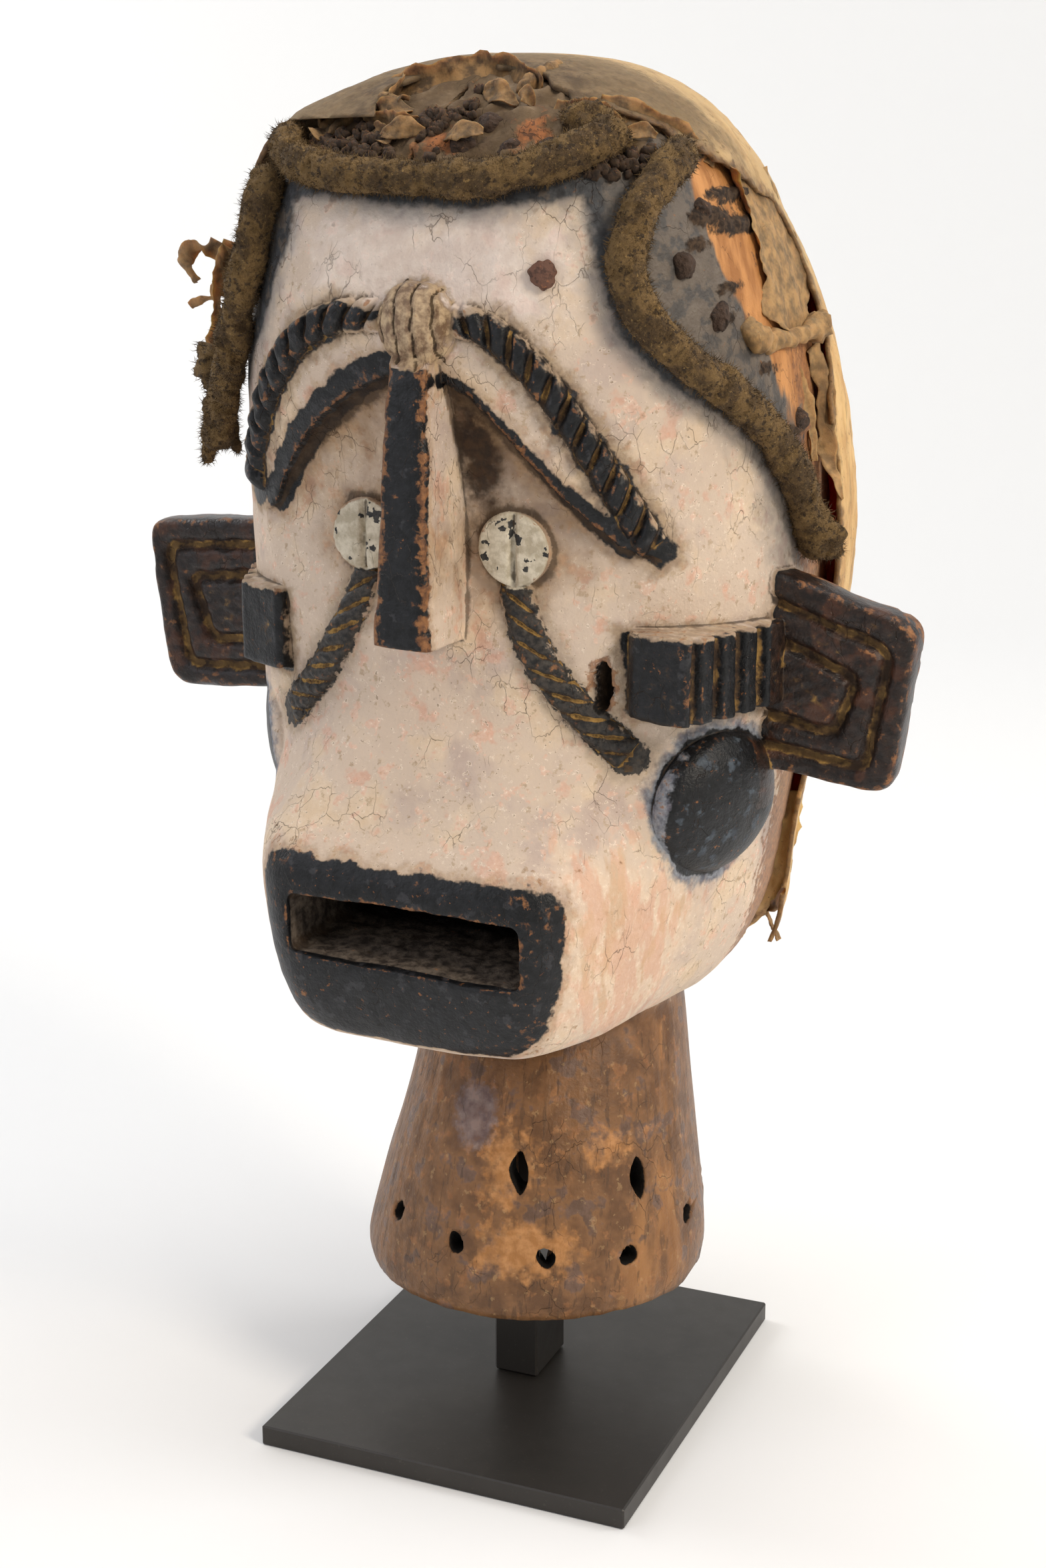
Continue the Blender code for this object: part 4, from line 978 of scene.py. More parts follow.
def carved_fields(spots, proud):
    """How far each point lies inside each part that is painted black or carved, in millimetres."""
    x, y, z = spots.T
    side, front = np.abs(x), y < -20

    # The lips are a square with round corners on the muzzle's front, and go on inside the mouth
    box = np.stack([side - LIPS_HALF[0] - 2 * (x > 0) + LIPS_CORNER,
                    np.abs(z - LIPS_MIDDLE) - LIPS_HALF[1] - 6 * (z < LIPS_MIDDLE) + LIPS_CORNER])
    lips = LIPS_CORNER - np.hypot(*np.maximum(box, 0)) - np.minimum(np.maximum(*box), 0)
    lips = only(y < -60, np.minimum(lips, -100.5 - y + 36 * (side < 44) * (np.abs(z - 160) < 14)))
    in_mouth = (y > -107) & (y < MOUTH_BACK + 3) & (side < 44) & (z > 146) & (z < 174)
    lips = np.where(in_mouth, 12, lips)

    # Ears and cheek bands are what stands out of the skin at their place
    ear = np.minimum(np.minimum(side - 88, (proud - 1.6) * 4), 8)
    ear = only((y > -32) & (y < 4) & (z > 200) & (z < 292), ear)
    cheek = np.minimum(np.minimum(z - CHEEK_BAND[0] + 1.0, (CHEEK_BAND[1] - 1.2 - z) * 1.5), side - 62.5)
    cheek = only((y < -6) & (proud > -3), np.minimum(cheek, proud + 1.0))
    boss = np.maximum(*[reach - np.linalg.norm(spots - boss_place(hand)[0], axis=1)
                        for hand, reach in ((1, 27.5), (-1, 22.0))])
    boss = np.minimum(boss, 4)

    # Ridges, tears and brows are as wide as their bands, measured from the bands' middle lines
    ridge, tear, brow = np.full((3, len(spots)), FAR)
    for hand, path, line, drop, thin, wide in ((1, RIDGE_RIGHT, BROW_RIGHT, 1.5, 2.4, 4.6),
                                               (-1, RIDGE_LEFT, BROW_LEFT, 3.0, 5.6, 5.6)):
        here = front & (x * hand > 4)
        away, share = path_distance(x[here] * hand, z[here], path)
        ridge[here] = 5.6 - away - 5.5 * np.clip(1 - share / 0.2, 0, 1)
        away, share = path_distance(x[here] * hand, z[here], TEAR)
        tear[here] = np.interp(share, (0, 0.3), (4.6, 6.0)) - away
        away, share = path_distance(x[here] * hand, z[here] - drop, line[1:-1])
        brow[here] = thin + (wide - thin) * share - away
    brow = np.where(y > -40, FAR, brow)
    wide, deep = [np.interp(z, *zip(*[(row[0], row[k]) for row in NOSE])) for k in (1, 2)]
    nose = only((z > 255) & (z < 349), np.minimum(wide + 0.8 - side, deep + 2.4 - y))

    knot_field = 13.6 - np.hypot(x / 13 * 13.5, z - KNOT[1])
    knot_field = only((knot_field > -4) & (y < -84), knot_field)
    black = np.max([lips, ear, cheek, boss, ridge, brow, nose], axis=0)
    black = np.minimum(np.minimum(black, np.where(knot_field > -2, -0.6 - knot_field, 30)), 4)
    rib = np.where(knot_field > -1, np.exp(-(knot_crack(x, z) / 0.6) ** 2), 0)
    return {"black": black, "tear": tear, "boss": boss, "ear": ear, "knot": knot_field, "rib": rib,
            "mouth": only(in_mouth, -y - 60), "carved": np.max([ear, cheek, ridge, tear], axis=0)}


def surface_fields(spots, proud):
    """How far each point lies inside each area of paint, bare wood, dirt or wear, and of painted shade and
    shadow, in millimetres.
    """
    x, y, z = spots.T
    side = np.abs(x)
    hair = only(y < 40, inside_border(x, z, HAIRLINE, [(130, 470), (-130, 470)]))
    bare = only((y > -70) & (x > 50), inside_border(x, z, BARE_BORDER, [(140, 296), (140, 430)]))

    # The eyes, the painted shade with some grime under the brows and around the eyes, and a painted shadow
    # of the brow with some soot beside the nose
    eye = EYE_RADIUS - np.hypot(side - EYE[0], z - EYE[1])
    raised = socket_depth(x, z) - y
    ring = 17 + 1.1 * eye
    eye = only((y < -74) & (eye > -3), np.minimum(np.minimum(eye, raised - 1.2) + (x > 0), 2.5))
    below = brow_line(x) - z
    lid = (below > -2) & (below < 60) & (side < 74) & (raised < 4) & (y < -55)
    socket = only(lid, 24 - 0.62 * below)
    socket = socket - 0.12 * np.maximum(side - 24, 0) - 0.4 * np.maximum(side - 44, 0)
    socket = np.maximum(socket, only(y < -55, ring))
    soot = 12 - np.hypot((side - 15) * 1.1, (z - 322) * 0.42)
    soot = only((y < -50) & (z < 347) & (side > 8), np.minimum(soot, (x > 0) * 12 - 2.0))
    soot = np.minimum(soot, (2.5 - raised) * 5)

    # The crusted crown, its two patches of bare wood, and the muzzle's rubbed right side
    crown = np.minimum(z - 404.5 - 0.002 * x * x, 12)
    crown = only(side < 62, np.minimum(crown, hair))
    plank = np.maximum(4.5 - np.hypot(x - 31, z - 420), 5 - np.hypot(x * 0.8 - 1, (z - 417) * 1.2))
    rub = np.minimum(np.minimum(x - 46, 186 - z + 0.4 * (-60 - y)), z - 108)
    rub = only(y < -20, np.minimum(rub, (-y - 34) * 0.7))

    # Painted shade: the walls of the holes in the neck and of the slit in the cheek are painted near black,
    # as their hollows are dark
    hole = only((z < 108) & (proud > -13), (-proud - 0.8) * 1.4)
    slit = 3 * (2.9 - np.hypot(x - CHEEK_SLIT[0], (z - CHEEK_SLIT[1]) * 0.318))
    slit = np.maximum(only(y < -40, slit), hole)
    pale = 26 - np.hypot(x * 0.5, (z - 378) * 1.2)
    patches = spot_field(x, z, (15, 57, 7, 1, 0.7), (24, 27, 11, 0.7, 1.3), (46, 62, 5, 1, 1.2))
    return {"hair": hair, "bare": bare, "eye": eye, "crown": crown, "plank": only(y < -40, plank),
            "rub": rub, "patches": patches, "stain": spot_field(x, z, (-1, 73, 9, 1, 0.8)),
            "neck": np.minimum(109 - z, 12), "socket": socket, "crust": crust_field(spots, FAR),
            "soot": soot, "slit": slit, "pale": only(y < -60, pale)}


def stand_out(spots):
    """How far each point stands out of the uncarved skin, in millimetres."""
    x, y, z = spots.T
    centre = axis_y(z)
    middle = read_curve(SECTION_CURVE, z)[3]
    return np.hypot(x - middle, y - centre) - skin_radius(np.arctan2(y - centre, x - middle), z)


def crust_field(spots, outside):
    """How far each point lies inside the nearest crust of the right temple."""
    x, y, z = spots.T
    inside = np.max([radius - np.hypot(x - across, z - up) for across, up, radius in CRUSTS], axis=0)
    return np.where((x > 70) & (y < 20), inside, outside)


def knot_crack(x, z):
    """Distance to the nearest of the upright cracks in the knot, which wander a little."""
    return (x + 0.05 * (z - KNOT[1]) + 0.35 * np.sin(z * 0.7) + 1.0) % 6.4 - 3.2


def off_neck(height):
    """A rise from 0 on the bare neck to 1 on the painted head."""
    return smooth_step((height - 116) / 8)


def head_relief(spots, proud):
    """Tool marks, worn edges, thick paint and crust, each faded in where it belongs, in mm."""
    x, y, z = spots.T
    lumps = 0.38 * layers(spots, 17, 1) + 0.14 * noise(spots, (5, 5, 6), 4)
    crisp = smooth_step((z - 104) / 10)
    tube = on_tube(spots)
    grain = 0.22 * noise(tube, (2.6, 2.6, 40), 7) + 0.14 * noise(tube, (1.7, 1.7, 18), 8)
    neck = (1 - crisp) * (grain + 0.30 * layers(tube, (16, 16, 40), 9, 2))
    worn = -0.4 * np.clip(proud - 0.25, 0, 1.2) * (0.6 + 0.8 * noise(spots, 7, 10))
    chips = noise(spots, 6, 11) + 0.5 * noise(spots, 2.6, 12)
    chips = -0.5 * smooth_step((chips - 0.35) / 0.25) * smooth_step((proud - 0.45) / 0.4)
    crown = smooth_step((z - 407) / 5) * (y < 20) * (np.abs(x) < 74)
    folds = 1 - np.abs(layers(spots + 4 * layers(spots, 15, 15)[:, None], (16, 9, 7), 14))
    crust = crown * (layers(spots, (9, 9, 7), 13) + 2.0 * folds ** 4 + 0.4 * noise(spots, 3, 16))
    clumps = smooth_step((crust_field(spots, -9) + noise(spots, 3, 17)) / 1.2)
    clumps *= 1.6 + 1.2 * noise(spots, 2.2, 18)
    ribs = np.where((np.abs(x) < 14) & (np.abs(z - KNOT[1]) < 14) & (y < -90),
                    -1.2 * np.exp(-(knot_crack(x, z) / 0.6) ** 2), 0)
    return lumps * crisp + neck + (worn + chips) * off_neck(z) + crust + clumps + ribs


def make_head():
    """The wood as one carved mesh, with the fields that its paint follows."""
    columns, rows = head_lines()
    head = loft("head_relief", skin(columns[None, :], rows[:, None]))
    carve(head, [socket_cutter()], "DIFFERENCE")
    carve(head, [nose(), knot()] + ridges() + eyes() + cheek_pieces() + ears(), "UNION")
    carve(head, [mouth_cutter()] + neck_cutters(), "DIFFERENCE")
    spots, proud = finish_head(head)
    out = stand_out(spots)
    fields = {**carved_fields(spots, out), **surface_fields(spots, out)}
    for name, values in fields.items():
        write_value(head.data, name, values)
    write_value(head.data, "proud", proud * off_neck(spots[:, 2]))
    # Depth in the cuts of the carved bands, for their painted shade and ochre floors; the tears' grooves
    # weigh more
    deep = -proud * np.where(fields["tear"] > 0, 3.2, 1.1)
    write_value(head.data, "groove", np.where(fields["carved"] > 0.3, deep, -3))
    write_value(head.data, "tube", on_tube(spots) * 0.001)
    return head


def hide_bunch(angle, height):
    """How far the hide stands up: a fold on the left of the crown, and a lifted edge on the right."""
    turn = (angle + math.radians(138)) / math.radians(30)
    rise = (height - 408) / 26
    fold = 7.0 * np.exp(-turn * turn - rise * rise)
    turn = (angle - math.radians(24)) / math.radians(24)
    rise = (height - 296) / 66
    edge = 5.2 * np.exp(-turn * turn - rise * rise)
    turn = (angle - math.radians(26)) / math.radians(24)
    rise = (height - 120) / 32
    return fold + edge + 9.0 * np.exp(-turn * turn - rise * rise)


def hide_wrinkles(spots):
    """Folds of the dried hide in mm: long upright pleats on the back, crumpled at the edges."""
    pleats = 0.9 * noise(spots, (16, 30, 90), 31) + 0.5 * noise(spots, (7, 14, 40), 32)
    crumple = 0.55 * np.abs(noise(spots, 9, 33)) + 0.3 * noise(spots, 3.5, 34)
    return pleats + crumple - 0.3


def hide_cutters():
    """Solids that give the hide its ragged edges, its bite over the forehead and its holes.

    An edge is a line in the side view, shaken by noise and closed in front of the face; the
    solid is that outline carried sideways. The bite is an outline carried upwards.
    """
    cutters = []
    for side, edge in ((1, HIDE_EDGE_RIGHT), (-1, HIDE_EDGE_LEFT)):
        path = resample(edge, 260)
        ragged = np.column_stack([path, np.zeros(len(path))])
        bite = 1.6 * layers(ragged, 11, 40 + side) + 1.1 * noise(ragged, 2.7, 42 + side)
        path = path + np.column_stack([bite, bite * 0.6])
        outline = np.vstack([[(-170, path[0, 1] + 2)], path, [(150, 90), (-170, 90)]])
        sides = [np.column_stack([np.full(len(outline), x * side), outline]) for x in (-4.0, 170.0)]
        cutters.append(loft("hide side", sides))
    bite = resample(HIDE_BITE, 120)
    ragged = np.column_stack([bite, np.zeros(len(bite))])
    shift = 1.5 * layers(ragged, 8, 45) + 1.0 * noise(ragged, 2.5, 46)
    bite = bite + np.column_stack([shift * 0.4, shift])
    sides = [np.column_stack([bite, np.full(len(bite), z)]) for z in (395.0, 470.0)]
    cutters.append(loft("hide bite", sides))
    turn = full_turn(20)[:, None]
    for x, y, z, wide, tall in ((74, 60, 134, 2.6, 4.6), (81, 58, 151, 1.3, 1.5)):
        oval = np.hstack([wide * np.cos(turn), 0 * turn, tall * np.sin(turn) * (1 + 0.2 * np.cos(turn))])
        ends = [(x - 0.4 * step, y + step, z) + oval for step in (-26, 26)]
        cutters.append(loft("hide hole", ends))
    return cutters


def make_hide():
    """The hide as a cup: its inside from the tip down, then its outside back up to the tip.

    Its scraps, strips and crumbs are joined to it, and it gets the fields that its finish follows.
    """
    columns = full_turn(HIDE_COLUMNS) - math.pi
    rows = np.concatenate([np.linspace(119, 425, HIDE_ROWS), np.linspace(427, 444.9, 16)])
    angle, height = np.broadcast_arrays(columns[None, :], rows[:, None])
    base, out = skin(angle, height), skin_out(angle, height)
    above = HIDE_LIFT + hide_bunch(angle, height)
    fold = np.clip(hide_wrinkles(base) * smooth_step((444 - height) / 12), -0.9, 3)
    inner = base + out * (above + 0.6 + fold)[..., None]
    outer = base + out * (above + 2.2 + fold)[..., None]
    crown = np.array([0, 5.0, 0])
    tips = [crown + (rings[-1:] - crown) * (0.04, 0.04, 1) for rings in (inner, outer)]
    tips[0][..., 2], tips[1][..., 2] = DRAWN_HEIGHT + 2.4, DRAWN_HEIGHT + 4.0
    hide = loft("hide_relief", np.concatenate([tips[0], inner[::-1], outer, tips[1]]))
    carve(hide, hide_cutters(), "DIFFERENCE")
    join(hide, loft("golden flap", scrap(GOLD_FLAP, 1.6, 130)))
    counts = [len(hide.data.vertices)]
    pieces = [scrap(rows, cup, 70 + k) for k, (rows, cup) in enumerate(SCRAPS)]
    pieces += [cord(rows, 90 + k, 1.5) for k, rows in enumerate(CORDS)]
    pieces += [scrap(rows, 0.8, 150 + k) for k, rows in enumerate(crown_strips(STRIPS, 5))]
    join(hide, loft("scraps", *pieces, temple_skin()))
    counts.append(len(hide.data.vertices))
    join(hide, crumbs(CRUMBS, 8))

    spots = undo_place(read(hide.data.vertices, "co"))
    x, y, z = spots.T
    number = np.arange(len(spots))
    edges = [np.where(x * side > 0, path_distance(y, z, edge)[0], 99)
             for side, edge in ((1, HIDE_EDGE_RIGHT), (-1, HIDE_EDGE_LEFT))]
    fields = {"loose": 1.0 * (number >= counts[0]) + (number >= counts[1]),
              "rim": -np.minimum(np.minimum(*edges), 40),
              "top": np.minimum((z - 405) * 0.8, -y),
              "front": np.where(z > 408, 14 - path_distance(x, y, HIDE_BITE)[0], -30),
              # golden tan of the hide's lower right side, partly a painted glow of light coming through
              "gold": np.minimum(np.minimum(x - 40, 385 - z) * 0.3, 20)}
    for name, values in fields.items():
        write_value(hide.data, name, values)
    return hide


def join(target, other):
    """Adds the shells of another object to a target and removes the other object."""
    both = bmesh.new()
    both.from_mesh(target.data)
    both.from_mesh(other.data)
    both.to_mesh(target.data)
    both.free()
    bpy.data.objects.remove(other)


def away_from_head(points):
    """Unit directions out of the head: level at its sides, tilting up over the crown."""
    out = points - (0, HEAD_AXIS_Y, 0)
    out[:, 2] = np.clip(points[:, 2] - 380, 0, 70) * 1.6
    return unit(out)


def scrap(rows, cup, seed):
    """A strip of dry skin along a curve: its section is a cupped, crumpled arc with thin edges."""
    spine = spaced(rows, np.linspace(0, 1, 40))
    middle, wide, twist = spine[:, :3], spine[:, 3], np.radians(spine[:, 4])
    across, up = curve_ways(middle, away_from_head(middle))
    lean = (np.cos(twist)[:, None] * across + np.sin(twist)[:, None] * up)[:, None]
    rise = (np.cos(twist)[:, None] * up - np.sin(twist)[:, None] * across)[:, None]
    lane = np.linspace(-1, 1, 9)[None, :, None]
    flat = middle[:, None] + lean * lane * wide[:, None, None]
    ragged = 1 + 0.30 * layers(flat, 5, seed)
    flat = middle[:, None] + lean * lane * (wide[:, None] * ragged)[..., None]
    crumple = layers(flat, 8, seed + 1, 4)
    sheet = flat + rise * (cup * (lane[..., 0] ** 2 - 0.4) + 1.7 * crumple)[..., None]
    thin = 0.55 * np.sqrt(np.clip(1.04 - lane**2, 0, 1))
    return np.concatenate([sheet + rise * thin, (sheet - rise * thin)[:, ::-1]], 1)


def crown_strips(count, seed):
    """Rows for short torn strips on the crown: each rises off the wood and twists, by seeded chance."""
    pick = np.random.default_rng(seed)
    step = np.linspace(0, 1, 6)
    made = []
    for angle, height, turn, climb, wide, lift, lean, twist in pick.uniform(
            (-152, 413, -17, -6, 1.6, 1.5, -50, -80), (-36, 431, 17, 6, 4.2, 4.5, 50, 80), (count, 8)):
        level = height + climb * step
        around = np.radians(angle + turn * step)
        spine = skin(around, level) + skin_out(around, level) * (1.0 + lift * np.sin(2.6 * step))[:, None]
        made.append(np.column_stack([spine, wide * np.sin(0.3 + 2.5 * step), lean + twist * step]))
    return made


def crumbs(count, seed):
    """Crumbs of old glue and hair: lumpy balls in clusters on the crown and the right temple."""
    pick = np.random.default_rng(seed)
    angle = np.radians(pick.uniform(-165, -10, count * 8))
    height = pick.uniform(407, 436, count * 8)
    base, out = skin(angle, height), skin_out(angle, height)
    x, y, z = base.T
    cluster = layers(base, 12, 140) + 0.5 * (x < -22) + 0.7 * (x > 38) + 0.5 * (z < 415)
    edge = np.interp(x, (-60, -26, -12, 2, 18, 34, 44, 70), (-60, -58, -44, -38, -43, -50, -62, -50))
    keep = np.flatnonzero((cluster > 0.5) & (x > -52) & (x < 74) & (y < edge + 5))[:count]
    base, out = base[keep], out[keep]
    first = unit(np.cross((0.2, 0.3, 0.9), out))
    second = np.cross(out, first)
    polar, turn = np.radians((18, 62, 112, 160))[:, None], np.radians(np.arange(7) * 51.4)[None, :]
    ball = [np.sin(polar) * np.cos(turn), np.sin(polar) * np.sin(turn), np.cos(polar) + 0 * turn]
    shape = sum(part.reshape(1, 28, 1) * way[:, None] for part, way in zip(ball, (first, second, out)))
    size = pick.uniform(0.6, 1.8, (len(base), 1, 1)) ** 1.6
    spots = (base + out * 0.8)[:, None] + shape * size * pick.uniform(0.7, 1.3, (len(base), 28, 1))
    ring = np.arange(7)
    pattern = [(r * 7 + i, r * 7 + 7 + i, r * 7 + 7 + (i + 1) % 7, r * 7 + (i + 1) % 7)
               for r in range(3) for i in range(7)] + [tuple(ring), tuple(21 + ring[::-1])]
    start = np.arange(len(base)) * 28
    faces = [face for part in pattern for face in (start[:, None] + np.array(part)).tolist()]
    return new_object("crumbs", point_mesh(place(spots), faces, "crumbs"))


def cord(rows, seed, rough):
    """A lumpy cord: a tube along a curve whose radius changes with the place."""
    shares = np.linspace(0, 1, 56)
    spine = spaced(rows, shares)
    middle, radius = spine[:, :3], spine[:, 3]
    ring = spokes(middle, away_from_head(middle), 22)
    lumps = layers(middle[:, None] + ring * radius[:, None, None], 5, seed, 4)
    ends = np.sqrt(np.clip(np.minimum(shares, 1 - shares) / 0.08, 0.02, 1))
    wide = radius[:, None] * (1 + 0.34 * rough * lumps) * ends[:, None]
    return middle[:, None] + ring * wide[..., None]


def temple_skin():
    """Dry skin still stuck to the right temple, between its torn edge and the hide's edge."""
    height = np.linspace(360, 409, 60)
    left = np.interp(height, (360, 366, 374, 387, 394, 405, 409),
                     (-13, -19, -17.5, -16.5, -17.3, -20.3, -22))
    right = np.interp(height, (360, 372, 385, 396, 409), (4, 11, 13, 7, 4))
    marks = np.column_stack([height, height * 0, height * 0])
    left = left + 1.6 * layers(marks, 5, 111)
    right = right + 2.0 * layers(marks, 6, 112)
    share = np.linspace(0, 1, 40)[None, :]
    angle = np.radians(left[:, None] + (right - left)[:, None] * share)
    level = height[:, None] + 0 * share + 1.2 * np.sin(share * 9) * np.sin(height * 0.2)[:, None]
    base, out = skin(angle, level), skin_out(angle, level)
    bumps = layers(base, (9, 9, 12), 113, 4)
    curl = 2.4 * np.exp(-(share / 0.07) ** 2) + 2.0 * np.exp(-((1 - share) / 0.10) ** 2)
    lift = 1.5 + 1.0 * bumps + curl * (0.5 + 0.8 * bumps)
    thin = 0.6 * np.sqrt(np.clip(4.2 * share * (1 - share), 0.02, 1)) * np.ones_like(lift)
    outer, inner = base + out * (lift + thin)[..., None], base + out * (lift - thin)[..., None]
    return np.concatenate([outer, inner[:, ::-1]], 1)


def fibres(points, normals, count, length, seed):
    """Fine hairs: thin closed cones of three sides, rooted in a surface and bent as they grow."""
    pick = np.random.default_rng(seed)
    root = pick.integers(0, len(points), count)
    start = points[root] - normals[root] * 0.0006
    lean = unit(normals[root] * pick.uniform(0.25, 1.0, (count, 1)) + pick.normal(0, 0.55, (count, 3)))
    bend = unit(lean + pick.normal(0, 0.5, (count, 3)))
    reach = length * pick.uniform(0.4, 1.3, (count, 1)) * 0.001
    side = unit(np.cross(lean, (0.31, 0.22, 0.92)))
    other = np.cross(lean, side)
    corners = [side, -0.5 * side + 0.87 * other, -0.5 * side - 0.87 * other]
    low = [start + c * 0.00013 for c in corners]
    middle = [start + lean * reach * 0.5 + c * 0.0001 for c in corners]
    tip = start + lean * reach * 0.5 + bend * reach * 0.5
    spots = np.stack(low + middle + [tip], 1).reshape(-1, 3)
    pattern = [(2, 1, 0), (0, 1, 4, 3), (1, 2, 5, 4), (2, 0, 3, 5), (3, 4, 6), (4, 5, 6), (5, 3, 6)]
    first = np.arange(count) * 7
    faces = [face for part in pattern for face in (first[:, None] + np.array(part)).tolist()]
    return new_object("hairs", point_mesh(spots, faces, "hairs"))


def roll_surface(name, path):
    """A felted roll: a tube along the wood, its radius changed by lumps, its ends drawn in."""
    shares = np.linspace(0, 1, 330 if name != "hair_roll_front" else 300)
    spine = spaced(path, shares)
    angle, height = np.radians(spine[:, 0]), spine[:, 1]
    out = skin_out(angle, height)
    middle = skin(angle, height) + out * (ROLL_RADIUS + 0.9 + spine[:, 2:])
    ring = spokes(middle, out, 40)
    tube = middle[:, None] + ring * ROLL_RADIUS
    lumps = 0.9 * layers(tube, 10, 51) + 0.45 * noise(tube, 2.4, 52)
    lumps = lumps + 0.35 * noise(tube, 1.2, 53) - 0.9 * (noise(tube, 6, 54) > 0.55)
    radius = ROLL_RADIUS + ROLL_FAT[name] + lumps
    ends = np.clip(np.minimum(shares, 1 - shares) / 0.03, 0, 1)
    radius = radius * np.sqrt(1 - (1 - ends) ** 2 * 0.97)[:, None]
    tufts = [cord(TUFTS[k], 120 + k, 1.3) for k in range(len(TUFTS)) if name == ROLL_OF_TUFT[k]]
    felt = loft(name + "_felt", middle[:, None] + ring * radius[..., None], *tufts)
    points, normals = read(felt.data.vertices, "co"), read(felt.data.vertex_normals, "vector")
    join(felt, fibres(points, normals, HAIRS, HAIR_LENGTH, 200 + len(name)))
    return felt


def peg_lump(name, turn, height, seed):
    """A broken peg in its crust: a low dome with a lumpy surface."""
    angle, level = np.array(math.radians(turn)), np.array(float(height))
    centre, out = skin(angle, level), skin_out(angle, level)
    rings = dome(centre - out * 0.5, out, (3.6, 4.3, 4.3), 44, 24)
    lumps = 0.8 * layers(rings, 3.4, seed) - 0.5 * (np.abs(noise(rings, 5, seed + 3)) < 0.12)
    return loft(name + "_lump", rings + unit(rings - centre) * lumps[..., None])


def nail_head():
    """The rusted nail: a domed head with a worn, hammered rim on a short shank."""
    x, z = np.array(NAIL[0]), np.array(float(NAIL[1]))
    centre, out = front_skin(x, z), outward(front_skin, x, z)
    profile = [(0.34, -6), (0.34, 0.7), (0.9, 0.8), (1.0, 1.1), (1.0, 1.9)]
    profile += [(s, 2.0 + 1.2 * (1 - s * s)) for s in np.linspace(0.95, 0.05, 16)]
    turn = full_turn(56)[:, None]
    right, up = sideways(out)
    wide = 4.4 * (1 + 0.07 * np.sin(turn * 3 + 1) + 0.05 * np.sin(turn * 7) + 0.03 * np.sin(turn * 11))
    rim = (np.cos(turn) * right + np.sin(turn) * up) * wide + out * 0.18 * np.sin(turn * 5)
    return loft("nail_relief", [centre + rim * share + out * height for share, height in profile])


def floor_sweep():
    """The studio's pale floor, curving up into its backdrop: a profile carried across."""
    curve, turn = np.linspace(0.1, 1.57, 14), math.radians(CAMERA_TURN)
    depth = np.concatenate([np.linspace(-1.6, 1.6, 12), 1.6 + 0.9 * np.sin(curve), [2.5]])
    height = np.concatenate([np.zeros(12), 0.9 * (1 - np.cos(curve)), [3.2]])
    across, depth, height = np.broadcast_arrays([[-3.5], [3.5]], depth, height)
    points = np.stack([across * math.cos(turn) - depth * math.sin(turn),
                       across * math.sin(turn) + depth * math.cos(turn), height], -1).reshape(-1, 3)
    depth = depth[0]
    faces = [(i, i + len(depth), i + len(depth) + 1, i + 1) for i in range(len(depth) - 1)]
    floor = new_object("studio_floor", point_mesh(points, faces, "studio_floor"))
    floor.data.polygons.foreach_set("use_smooth", [True] * len(faces))
    return floor


def add(tree, kind, inputs=None, **settings):
    """A shader node with its settings; an input is a value or the socket that feeds it."""
    node = tree.nodes.new("ShaderNode" + kind)
    for key, value in settings.items():
        setattr(node, key, value)
    for key, value in (inputs or {}).items():
        if isinstance(value, bpy.types.NodeSocket):
            tree.links.new(value, node.inputs[key])
        else:
            node.inputs[key].default_value = value
    return node


def speckle(tree, size, stretch=(1, 1, 1), detail=3.0, along=None):
    """Cloudy noise with features of a size in mm; a second call with the same size shares it.

    It lies over the object, or over a vector attribute such as the place on an upright tube.
    """
    label = f"noise {size} {stretch} {along}"
    if label in tree.nodes:
        return tree.nodes[label].outputs["Fac"]
    spot = add(tree, "Attribute", attribute_name=along).outputs["Vector"] if along else \
        add(tree, "TexCoord").outputs["Object"]
    scale = tuple(1000 / (size * s) for s in stretch)
    moved = add(tree, "Mapping", {"Vector": spot, "Scale": scale, "Location": (size, size * 0.7, -size)})
    made = add(tree, "TexNoise", {"Vector": moved.outputs[0], "Scale": 1.0, "Detail": detail,
                                  "Roughness": 0.6}, name=label)
    return made.outputs["Fac"]


def cracks(tree, size, width, seed=0.0, stretch=(1, 1, 1)):
    """Thin lines between random cells, wavy, as a mask that is one on the line."""
    spot = add(tree, "TexCoord").outputs["Object"]
    scale = tuple(1000 / (size * s) for s in stretch)
    moved = add(tree, "Mapping", {"Vector": spot, "Scale": scale, "Location": (seed, -seed, seed * 0.3)})
    warp = add(tree, "TexNoise", {"Vector": moved.outputs[0], "Scale": 1.6, "Detail": 3.0})
    bent = add(tree, "VectorMath", {0: warp.outputs["Color"], 1: (0.75, 0.75, 0.75), 2: moved.outputs[0]},
               operation="MULTIPLY_ADD")
    cells = add(tree, "TexVoronoi", {"Vector": bent.outputs[0], "Scale": 1.0}, feature="DISTANCE_TO_EDGE")
    return add(tree, "MapRange", {"Value": cells.outputs["Distance"], "From Min": width, "From Max": 0.0},
               interpolation_type="SMOOTHSTEP").outputs[0]


def bump_height(tree, bumps, tone):
    """Height of the fine relief: noises and cracks, each times its weight, added up.

    The colour comes back with dark lines where the cracks are.
    """
    height = None
    for kind, size, stretch, weight in bumps:
        if kind == "cracks":
            some = add(tree, "MapRange", {"Value": speckle(tree, 26.0), "From Min": 0.5, "From Max": 0.62})
            part = add(tree, "Math", {0: cracks(tree, size, 0.016, size, stretch), 1: some.outputs[0]},
                       operation="MULTIPLY").outputs[0]
            shade = add(tree, "Math", {0: part, 1: 0.5}, operation="MULTIPLY").outputs[0]
            tone = add(tree, "Mix", {0: shade, 6: tone, 7: linear("3a2a1c")}, data_type="RGBA").outputs[2]
        else:
            part = speckle(tree, size, stretch, 4.0, "tube" if stretch == LONG else None)
        term = {0: part, 1: weight}
        if height is not None:
            term[2] = height
        height = add(tree, "Math", term, operation="MULTIPLY_ADD" if 2 in term else "MULTIPLY").outputs[0]
    return height, tone


